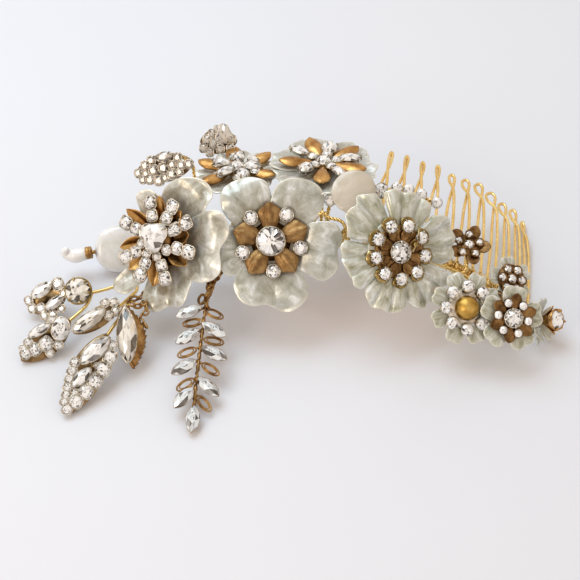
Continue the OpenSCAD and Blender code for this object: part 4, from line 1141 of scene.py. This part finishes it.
def build_six_stone_flower():
    m = PLACES["six"]
    petals, cups, stones, claw = shapes(4)
    small_petals(petals, m, 5, 306, 38, 7.6, 0.3, 91)
    make("six_petals", petals, SAGE, "six_stone_petals")
    base = raised(m, 0.95)
    cups.lathe(base, [(0.05, 0.0), (3.2, 0.0), (3.4, 0.4), (0.05, 0.5)], 28)
    leaves = ring(base, 6, 40, 1.6, 0.3, -6)
    for i, stone in enumerate(ring(base, 6, 10, 3.6, 1.3)):
        leaf_form(cups, leaves[i], 4.2, drop_width(2.7), 0.3, 0.2, 0.3, 0.5, 14, 9)
        round_gem(stones, None, stone, 0.95, 170 + i, dark=0.05)
        collet(cups, stone, 0.95, 1.1, 0.16, flare=0.6, lip=0.0)
    round_gem(stones, claw, raised(base, 1.5), 2.0, 177, 8, 0.0, 1.2, 0.14)
    make("six_cups", cups, BRONZE, "six_stone_cups")
    make("six_claws", claw, SILVER)
    make("six_crystals", stones, CRYSTAL, "six_stone_stones")


CONE = [(0.05, 0), (1, 0), (1.25, 1), (1.75, 2.4), (2.65, 4), (2.45, 4.05), (2.1, 3.3), (0.05, 2.9)]


def build_end_flower():
    m = PLACES["end"]
    petals, cone, stones, claw, frill = shapes(5)
    small_petals(petals, m, 5, 0, 36, 5.4, 1.5, 101, 0.12, 0.3, 0.5, 30)
    make("end_petals", petals, SAGE, "end_flower_petals")
    base = raised(m, 0.9)
    cone.lathe(base, CONE, 36)
    leaf_ring(cone, base, 5, 20, 0.7, 0.1, -62, 4.7, drop_width(2.5), 0.3, 0.22, -0.9, 0.0, 14, 7)
    make("end_cone", cone, LEAF_GOLD, "end_flower_cup")
    stone = base @ shift(-0.1, -0.2, 4.0) @ turn("X", 16) @ turn("Y", -12)
    gem(stones, stone, round_edge(2.25), 1.0, 0.8, 8, 0.55, 181, 0.12, 0.25, 2)
    make("end_crystal", stones, CRYSTAL, "end_flower_stone")
    claws(claw, stone, ring_spots(2.25, 4), 0.75, 0.26, 0.45, 1.0)
    collet(claw, stone, 2.25, 1.2, 0.2, flare=0.7)
    make("end_claws", claw, ANTIQUE)
    width = blade_width(1.1, 0.9, 0.02, 1.1)
    for i in range(9):
        strand = around(m, 196 + 15 * i, 1.6, 0.5, -18 + 7 * (i % 3))
        leaf_form(frill, strand, 4.6 + 0.5 * (i % 2), width, 0.1, 0.12, -0.6, 0.1, 12, 5)
    make("end_frill", frill, SAGE)


def build_clusters():
    m = PLACES["cluster"]
    petals, cups, stones = shapes(3)
    small_petals(petals, m, 5, 20, 36, 5.6, 0.3, 111)
    make("cluster_enamel", petals, SAGE, "cluster_petals")
    cups.lathe(m, [(0.05, 0.6), (3.5, 0.6), (3.6, 0.95), (0.05, 1.05)], 28)
    round_gem(stones, cups, raised(m, 1.57), 1.1, 190, 4, 0.0, 0.8)
    gem_ring(stones, cups, m, 6, 0, 2.6, 1.57, 0.98, 191, 4, 0.0, 0.8, 0.15)
    make("cluster_cups", cups, BRONZE)
    make("cluster_crystals", stones, CRYSTAL, "cluster_stones")
    m = PLACES["bronze"]
    petals, stones = shapes(2)
    leaf_ring(petals, m, 5, 0, 0.8, 0.25, -8, 4.5, drop_width(3.2), 0.35, 0.3, 0.5, 0.5, 14, 9)
    petals.lathe(m, [(0.05, 0.0), (1.2, 0.0), (2.8, 0.5), (2.9, 0.9), (0.05, 1.0)], 24)
    round_gem(stones, petals, raised(m, 1.5), 1.1, 200, 4, 0.0, 0.8)
    gem_ring(stones, petals, m, 5, 20, 2.6, 1.5, 0.82, 201, 4, 0.0, 0.8)
    make("bronze_petals", petals, BRONZE, "bronze_flower", slot="bronze_petals")
    make("bronze_crystals", stones, CRYSTAL, "bronze_flower_stones")


# ---- pearls and shell
STICK_BEND = [
    (-2.7, 0, 0), (-1.2, 0.1, -0.1), (0.5, 0, -0.2), (1.7, -0.2, 0),
    (2.75, -0.2, 0.8), (2.5, -0.1, 2), (1.5, 0, 2.3),
]
STICK_GIRTH = ([0, 0.1, 0.32, 0.5, 0.66, 0.85, 0.96, 1], [1.2, 1.55, 1.9, 1.7, 1.2, 0.8, 0.6, 0.2])
STICK_CAP = [(0.3, -3.7), (1.2, -3.7), (1.35, -3.3), (1.6, -2.7), (1.62, -2.3), (1.4, -2.3), (0.3, -2.6)]
SHELL_ROWS = [
    (0.02, 0.0), (4.6, 0.0), (5.15, 0.35), (5.2, 0.62), (5.05, 0.85), (4.4, 1.02), (2.8, 1.2), (0.02, 1.28),
]


def build_pearls():
    coin, stick, cap, shell = shapes(4)
    bow = [(cos(a), sin(a)) for a in np.linspace(-pi / 2, pi / 2, 22)]
    profile = [(3.4 * min(1, c * 1.6) + 2.6 * c + 0.01, 2.6 * s) for c, s in bow]
    points, faces = lathe(profile, 56)
    swell = 1 + 0.02 * wobble(points[..., 0] * 1.6, points[..., 1] * 1.6, 5)[..., None]
    coin.add(points * swell, faces, PLACES["coin"])
    make("coin_pearl_nacre", coin, PEARL, "coin_pearl")
    spine = catmull(STICK_BEND, 9)
    stick.tube(spine, np.interp(np.linspace(0, 1, len(spine)), *STICK_GIRTH), 32, PLACES["stick"])
    make("stick_pearl_nacre", stick, PEARL, "stick_pearl")
    m = PLACES["stick"] @ turn("Y", 90)
    cap.lathe(m, STICK_CAP, 24)
    cap.tube([(0, 0, -3.4), (0, 0, -4.6)], 0.5, 10, m)
    for z in (-3.5, -3.05, -2.65):
        cap.tube([(1.45 * cos(w), 1.45 * sin(w), z) for w in full_turn(28)], 0.16, 5, m, True)
    make("stick_pearl_cap", cap, ANTIQUE)
    rows = catmull([(r, z, 0) for r, z in SHELL_ROWS], 3)[:, :2]
    points, faces = lathe(np.maximum(rows, (0.02, 0.0)), 60)
    w = np.arctan2(points[..., 1], points[..., 0])
    points[..., :2] *= (1 + 0.02 * np.cos(2 * w + 0.6) + 0.012 * np.sin(3 * w))[..., None]
    shell.add(points, faces, PLACES["shell"])
    make("shell_disc_face", shell, SHELL, "shell_disc")


# ---- leaves set with stones
SEAT = 0.92


def leaf_plate(shape, m, long, wide):
    rows = [(0.02, 0.0), (0.94, 0.0), (1.0, 0.25), (1.0, 0.5), (0.95, 0.66), (0.02, 0.6)]
    edge_solid(shape, m, oval_edge(long * 0.97, wide * 0.88), rows, 40, long / 2)


def stone_rows(stones, settings, m, table, seed, square):
    for k, (x, y, r) in enumerate(table):
        round_gem(stones, settings, m @ shift(x, y, SEAT + 0.35 * r), r, seed + k, 4, square, 0.7, 0.22)


def set_gem(stones, settings, m, edge, sides, table, seed):
    gem(stones, m, edge, 0.9, 0.7, sides, table, seed, 0.12, 0.25, 2)
    edge_cup(settings, m, edge, 0.7)


# Each leaf's plate, round stones (place and radius), long stones (place, heading and size) and seed
LEAVES = [
    ("upper_leaf", (11.4, 8.4, -0.6, 1.7),
     [(0.7, -0.3, 1.35), (9.3, 0, 0.95), (9.3, 2.1, 0.95), (7.2, 3, 1.0), (7.2, 4.95, 0.9), (5, 5.7, 0.95),
      (2.4, 5.4, 0.8), (0.4, 2.4, 0.8)],
     [(5.1, -0.7, 6, 6.2, 3.0), (3.4, 3.4, 9, 5.6, 2.5)], 210),
    ("lower_leaf", (15.2, 8.4, 0, 0),
     [(8, 0.8, 1.5), (10.8, 0.2, 1.3), (13.1, -0.5, 1.1), (10.9, -2.1, 0.9), (6, 2.9, 0.95), (8.7, 3.0, 0.8),
      (12.7, -1.9, 0.7), (3.4, -2.6, 0.8)],
     [(7.1, -2.6, -10, 6, 2.4)], 220),
    ("long_leaf", (21, 9, 0, 0),
     [(5, 3.1, 1.4), (8.3, 3, 1.5), (11.4, 2.5, 1.5), (14.5, 1.7, 1.45), (17.5, 0.7, 1.35),
      (19.8, -0.3, 1.0), (9.5, -3.4, 0.95), (11.5, -3.1, 0.95), (13.4, -2.8, 0.9), (15.2, -2.4, 0.9),
      (16.9, -1.9, 0.85), (18.5, -1.6, 0.8), (2.4, 2.4, 0.9), (15.6, -0.5, 0.7), (8.0, 1.2, 0.5)],
     [(5.2, -0.5, -22, 8.8, 3.8), (12.0, -0.6, -20, 6.0, 2.7)], 230),
    ("rear_leaf", (16.8, 8.2, 0, -0.9),
     [(15.4, -0.9, 0.95), (13, -2.4, 1.1), (11.1, -3.4, 1.0), (3.9, -2.8, 1.0),
      (1.3, -0.6, 1.0), (3.3, -0.8, 1.0), (5.8, -1.3, 0.95), (8.2, -0.9, 1.3),
      (11, -0.9, 1.25), (13.3, -0.5, 0.9), (4.2, 0.8, 0.85), (6.3, 1, 1.2),
      (8.4, 1.5, 0.9), (10.2, 1.9, 1.2), (12.5, 1.2, 1.1), (14.5, 0.9, 0.9)],
     [(7.4, -3.6, 0, 4.6, 2.5)], 260),
    ("crown_leaf", (11, 7.4, -0.8, -1.5),
     [(6, -3.4, 0.95), (7.5, -1.9, 1.1), (8.6, 0.1, 1.0), (5.6, -0.8, 1.1), (6.8, 1.2, 1.0),
      (3.7, 0.4, 1.05), (0.9, 0.3, 1.0), (0.3, -1.9, 0.9), (4.4, -4.4, 0.9)],
     [], 290),
]
JOINT_CUP = [(0.05, 0.0), (2.6, 0.0), (3.35, 1.2), (3.25, 1.95), (3.02, 1.95), (2.9, 1.1), (0.05, 0.8)]


def build_leaves():
    pale, joint, cup = shapes(3)
    for name, (long, wide, x, y), rounds, navettes, seed in LEAVES:
        plate, gems = shapes(2)
        m = PLACES[name]
        leaf_plate(plate, m @ shift(x, y, 0), long, wide)
        stone_rows(gems, pale, m, rounds, seed, 1.0 if name == "long_leaf" else 0.7)
        for k, (x, y, heading, long, wide) in enumerate(navettes):
            long_gem(gems, pale, on(m, x, y, SEAT + 0.25 * wide, heading), long, wide, seed + 20 + k, 0.14)
        if name == "lower_leaf":
            set_gem(gems, pale, on(m, 3.2, 0.3, SEAT + 0.7, 37), egg_edge(5.4, 4.2), 10, 0.55, 244)
        if name == "crown_leaf":
            set_gem(gems, pale, on(m, 2.4, -3, SEAT + 0.7, 30), triangle_edge(2.3), 9, 0.52, 246)
        make(name + "_plate", plate, PLATE_BRASS, name)
        look = SMOKED if name in ("rear_leaf", "crown_leaf") else CRYSTAL
        make(name + "_crystals", gems, look, name + "_stones")
    cup.lathe(PLACES["joint"], JOINT_CUP, 36)
    stone = raised(PLACES["joint"], 2.02)
    gem(joint, stone, round_edge(2.95), 1.3, 1.1, 10, 0.46, 248, 0.16, 0.3, 1)
    claws(cup, stone, ring_spots(2.95, 6, 20), 0.9, 0.27, 0.4, 1.2)
    make("joint_crystal", joint, CHAMPAGNE, slot="clear_stones")
    make("joint_setting", cup, CUP_GOLD)
    build_saw_leaf(pale)
    make("leaf_settings", pale, SILVER)


def build_saw_leaf(pale):
    leaf, warm, plate = shapes(3)
    teeth, long = 6, 14.8
    t = np.linspace(0, 1, 73)[:, None]
    v = np.linspace(0, 1, 7)[None, :]
    saw = (1 - (t * teeth * 2) % 1) * 0.55
    outer = 3.4 * np.sin(pi * np.clip(t, 0, 1)) + 0.35 + saw
    inner = np.interp(t, [0, 0.2, 0.6, 1], [-0.6, -2.3, -2.5, 0.2])
    y = inner + (outer - inner) * v
    z = 0.15 + 0.25 * np.sin(pi * v) + 0.05 * np.sin(t * teeth * 2 * pi * 2) * v
    top, low = [np.stack([t * long + 0 * v, y, z + lift], -1) for lift in (0.25, -0.2)]
    leaf.sheet(PLACES["saw_leaf"], top, low)
    make("saw_leaf_blade", leaf, VINE_BRONZE, "saw_leaf")
    long_gem(warm, pale, on(PLACES["saw_leaf"], 7, -0.3, SEAT + 1.1, -3), 12.8, 4.6, 250)
    m = PLACES["side_leaf"]
    leaf_plate(plate, m @ shift(-2.8, 0.4, 0), 13, 5.4)
    make("side_leaf_plate", plate, PLATE_BRASS, "side_leaf")
    long_gem(warm, pale, on(m, 5.5, -0.1, SEAT + 0.85, 2), 9.0, 3.6, 252)
    rounds = [(0.1, -1.5, 0.9), (-1.7, -0.5, 0.9), (-0.9, 1.5, 0.9), (1, 1.5, 0.9)]
    stone_rows(warm, pale, m, rounds, 254, 0.5)
    make("saw_leaf_crystals", warm, CHAMPAGNE, "saw_leaf_stones")


# ---- vine and twig
VINE_SPINE = [(-4.1, 0, 1.4), (-1, 0, 0.4), (2, -0.2, 0.3), (12, -0.3, 0.3), (22, -0.2, 0.3), (28, 0, 0.3)]
VINE_NAVETTES = [
    (3.5, -4, -59), (10, -3.5, -49), (17.9, -3.5, -50), (25.5, -2.6, -34), (7.4, 2.3, 64), (13.6, 3, 68),
    (22.2, 2.6, 52), (30.4, 0, 0),
]
VINE_LOOPS = [
    (2.7, 1.9, 70), (9.9, 2.6, 84), (17.2, 2.6, 59), (25.9, 2, 44), (5.7, -2.8, -70), (13.6, -3.2, -58),
    (21.7, -2.6, -48),
]
# Each loop's two wires: share of its size, height and radius
LOOP_WIRES = ((1.05, 0, 0.21), (0.74, 0.1, 0.17))
VINE_SEAT = 0.72 + 0.25 * 3.1
HANGER = [(-16.4, -1.6, 12.4), (-15.9, -6, 11.8),
    (-15.3, -10.4, 11.6), (-16.6, -12.4, 10.4), (-16.5, -14.8, 9.4)]


def vine_twig(shape, m, x, y, heading, near, r):
    """Short wire from a stone or loop of the vine to its spine."""
    a = radians(heading)
    root = (x - y / tan(a), -0.1, 0.3) if heading else (x - 4, 0, 0.3)
    shape.tube([(x - near * cos(a), y - near * sin(a), 0.3), root], r, 7, m)


def build_vine():
    m = PLACES["vine"]
    wires, stones = shapes(2)
    spine = catmull(VINE_SPINE, 16)
    wires.tube(spine, 0.36 + 0.1 * np.sin(np.linspace(0, 1, len(spine)) * 110), 8, m)
    wires.tube(coil_path(spine, 0.42, 1.6), 0.14, 5, m)
    for k, (x, y, heading) in enumerate(VINE_NAVETTES):
        vine_twig(wires, m, x, y, heading, 2, 0.32)
        here = on(m, x, y, VINE_SEAT, heading)
        long_gem(stones, None, here, 6.8, 3.3, 310 + k, 0.24, 3)
        edge_cup(wires, here, oval_edge(6.5, 3.1), 0.9, 1.03)
    for x, y, heading in VINE_LOOPS:
        here = on(m, x, y, 0.3, heading)
        for size, z, r in LOOP_WIRES:
            ring = [(2.2 * size * cos(w), 0.95 * size * sin(w), z) for w in full_turn(30)]
            wires.tube(ring, r, 6, here, True)
        vine_twig(wires, m, x, y, heading, 2.1, 0.28)
    twisted_pair(wires, placed(HANGER, 8), 0.42, 3.4)
    make("vine_wires", wires, VINE_BRONZE, "vine", slot="bronze_wire")
    make("vine_crystals", stones, COOL, "vine_stones")


TWIG_ROUNDS = [
    ((23.6, 7.9, 30.6), 1.3), ((26.4, 8.4, 30.2), 1.3), ((29.4, 8.8, 28.9), 1.3), ((33.2, 8.9, 27), 1.3),
    ((9, 2.4, 29), 1.45),
]


def build_twig():
    stones, settings = shapes(2)
    for k, (at, r) in enumerate(TWIG_ROUNDS):
        here = place(at, 0, 50, -80)
        gem(stones, here, egg_edge(2.2 * r, 1.9 * r), 0.5 * r, 0.35 * r, 8, 0.6, 330 + k, 0.06, 0.3)
        collet(settings, here, 0.98 * r, 0.9, 0.1, flare=0.7, lip=0.0)
    m = place((20.3, 6.2, 30.6), 0, 50, -80)
    gem(stones, m, drop_edge(3.6, 2.6), 0.8, 0.6, 8, 0.5, 340, 0.35, 0.3, 2)
    edge_cup(settings, m, drop_edge(3.6, 2.6), 0.6)
    make("twig_settings", settings, SILVER)
    make("twig_crystals", stones, CRYSTAL, "twig_stones")


# ---- chain, coils and loose wires
CHAINS = [
    ([(-31.6, -13, 7.6), (-32.4, -17.4, 8), (-35, -19.3, 8.3),
      (-32.7, -21, 8.4), (-31, -20, 8.6)], 1.9, 0.3),
    ([(-31, -20, 8.6), (-29.6, -22.2, 8.5), (-30.7, -24.4, 8.2), (-28.9, -26, 7.8)], 1.7, 0.26),
    ([(-15.5, -9.6, 11.9), (-17.4, -11.6, 10.6),
      (-16.1, -13.6, 9.6), (-18, -15.6, 8.7), (-16.4, -17.4, 8.5)],
     2.6, 0.34),
]
LOOSE_WIRES = [
    [(3.6, -1.7, 17.4), (5.0, -2.2, 23.2), (6.7, -1.8, 27.0), (8.1, -1.5, 28.4), (9.5, -1.5, 27.0),
     (12.8, -1.5, 26), (14.2, -1.5, 20)],
    [(8.1, -1.5, 28.4), (9.4, -0.6, 24), (9.9, -1.6, 18.8)],
]
COPPER_COIL = [(48.6, -4, 7.4), (50, -4.2, 10.4), (50.9, -3.6, 13.2)]


def chain(shape, path, long, wire):
    """Oval links along a path, each turned a quarter from the last."""
    fine, _ = resample(placed(path, 8), long * 0.78)
    along, a, b = frames(fine)
    w = full_turn(18)[:, None]
    for i in range(len(fine)):
        side = a[i] if i % 2 else b[i]
        ring = fine[i] + np.cos(w) * along[i] * long / 2 + np.sin(w) * side * long * 0.32
        shape.tube(ring, wire, 6, closed=True)


def build_findings():
    dark, bright = shapes(2)
    for row in CHAINS:
        chain(dark, *row)
    dark.tube(coil_path(placed(COPPER_COIL, 8), 0.95, 0.75, 12), 0.22, 6)
    make("chain_links", dark, VINE_BRONZE, slot="bronze_wire")
    for path in LOOSE_WIRES:
        twisted_pair(bright, placed(path, 8), 0.25, 1.9)
    bright.tube(coil_path(placed([(13.4, -1.8, 20.9), (13.0, -1.9, 23.6)], 8), 0.75, 0.52, 12), 0.2, 6)
    make("loose_wires", bright, BRIGHT_GOLD, slot="bronze_wire")


# ---- stage, in metres
EYE = (np.array([40.3, -189.5, 193.7]) - FOOT) * MM
LENS = 68.03
FLOOR = 9.0
# Each light's place and the point that it faces, then its size, energy and colour
LIGHTS = [
    ("key", (-0.19, 0.12, 0.43), (-0.01, 0, 0.01), (0.34, 0.34), 1.12, (0.725, 0.90, 1.03)),
    ("front", (-0.22, -0.34, 0.24), (0, 0, 0.01), (0.16, 0.2), 0.47, (1.0, 0.86, 0.70)),
    ("glow", (0.014, 0.002, 0.014), (0.014, -0.006, 0), (0.05, 0.012), 0.0004, (1.0, 0.30, 0.05)),
]
PAPER = [(0.3, 0.74, 0.765, 0.835), (0.7, 0.76, 0.785, 0.855)]
SKY = [(0.0, 0.55, 0.50, 0.45), (0.5, 0.86, 0.75, 0.655), (0.75, 0.90, 0.775, 0.66), (1.0, 1.0, 0.895, 0.79)]


def aim(item, at, target):
    item.location = at
    item.rotation_euler = (Vector(target) - Vector(at)).to_track_quat("-Z", "Y").to_euler()


def build_stage():
    mesh = bpy.data.meshes.new("floor")
    corners = [(x * FLOOR, y * FLOOR, 0) for x, y in ((-1, -1), (1, -1), (1, 1), (-1, 1))]
    mesh.from_pydata(corners, [], [(0, 1, 2, 3)])
    floor = add_object("floor", mesh)
    mat, tree, shader, where = nodes_of("floor paper")
    fill(tree, shader, {"Base Color": ramp(tree, noise(tree, where, 6.0), PAPER), "Roughness": 0.7})
    floor.data.materials.append(mat)


def build_lights():
    for name, at, target, size, energy, colour in LIGHTS:
        data = bpy.data.lights.new(name, "AREA")
        data.shape = "RECTANGLE"
        data.size, data.size_y = size
        data.energy = energy
        data.color = colour
        aim(add_object(name, data), at, target)
    world = bpy.data.worlds.new("studio")
    world.use_nodes = True
    bpy.context.scene.world = world
    tree = world.node_tree
    back = next(n for n in tree.nodes if n.type == "BACKGROUND")
    where = tree.nodes.new("ShaderNodeTexCoord").outputs["Generated"]
    height = add_node(tree, "ShaderNodeSeparateXYZ", {0: where}).outputs[2]
    colour = ramp(tree, map_range(tree, height, -1.0, 1.0, 0.0, 1.0), SKY)
    fill(tree, back, {"Color": colour, "Strength": spread(tree, noise(tree, where, 1.7, 1.0), 0.62, 1.06)})


def build_camera():
    data = bpy.data.cameras.new("camera")
    data.lens = LENS
    data.sensor_width = 36
    data.clip_start = 0.01
    data.clip_end = 30
    camera = add_object("camera", data)
    aim(camera, EYE, -FOOT * MM)
    bpy.context.scene.camera = camera
    bpy.context.scene.view_settings.view_transform = "Standard"


build_camera()
build_stage()
build_lights()
build_comb()
build_frame()
build_left_flower()
build_middle_flower()
build_right_flower()
build_rear_flowers()
build_dome_flower()
build_six_stone_flower()
build_end_flower()
build_clusters()
build_pearls()
build_leaves()
build_vine()
build_twig()
build_findings()
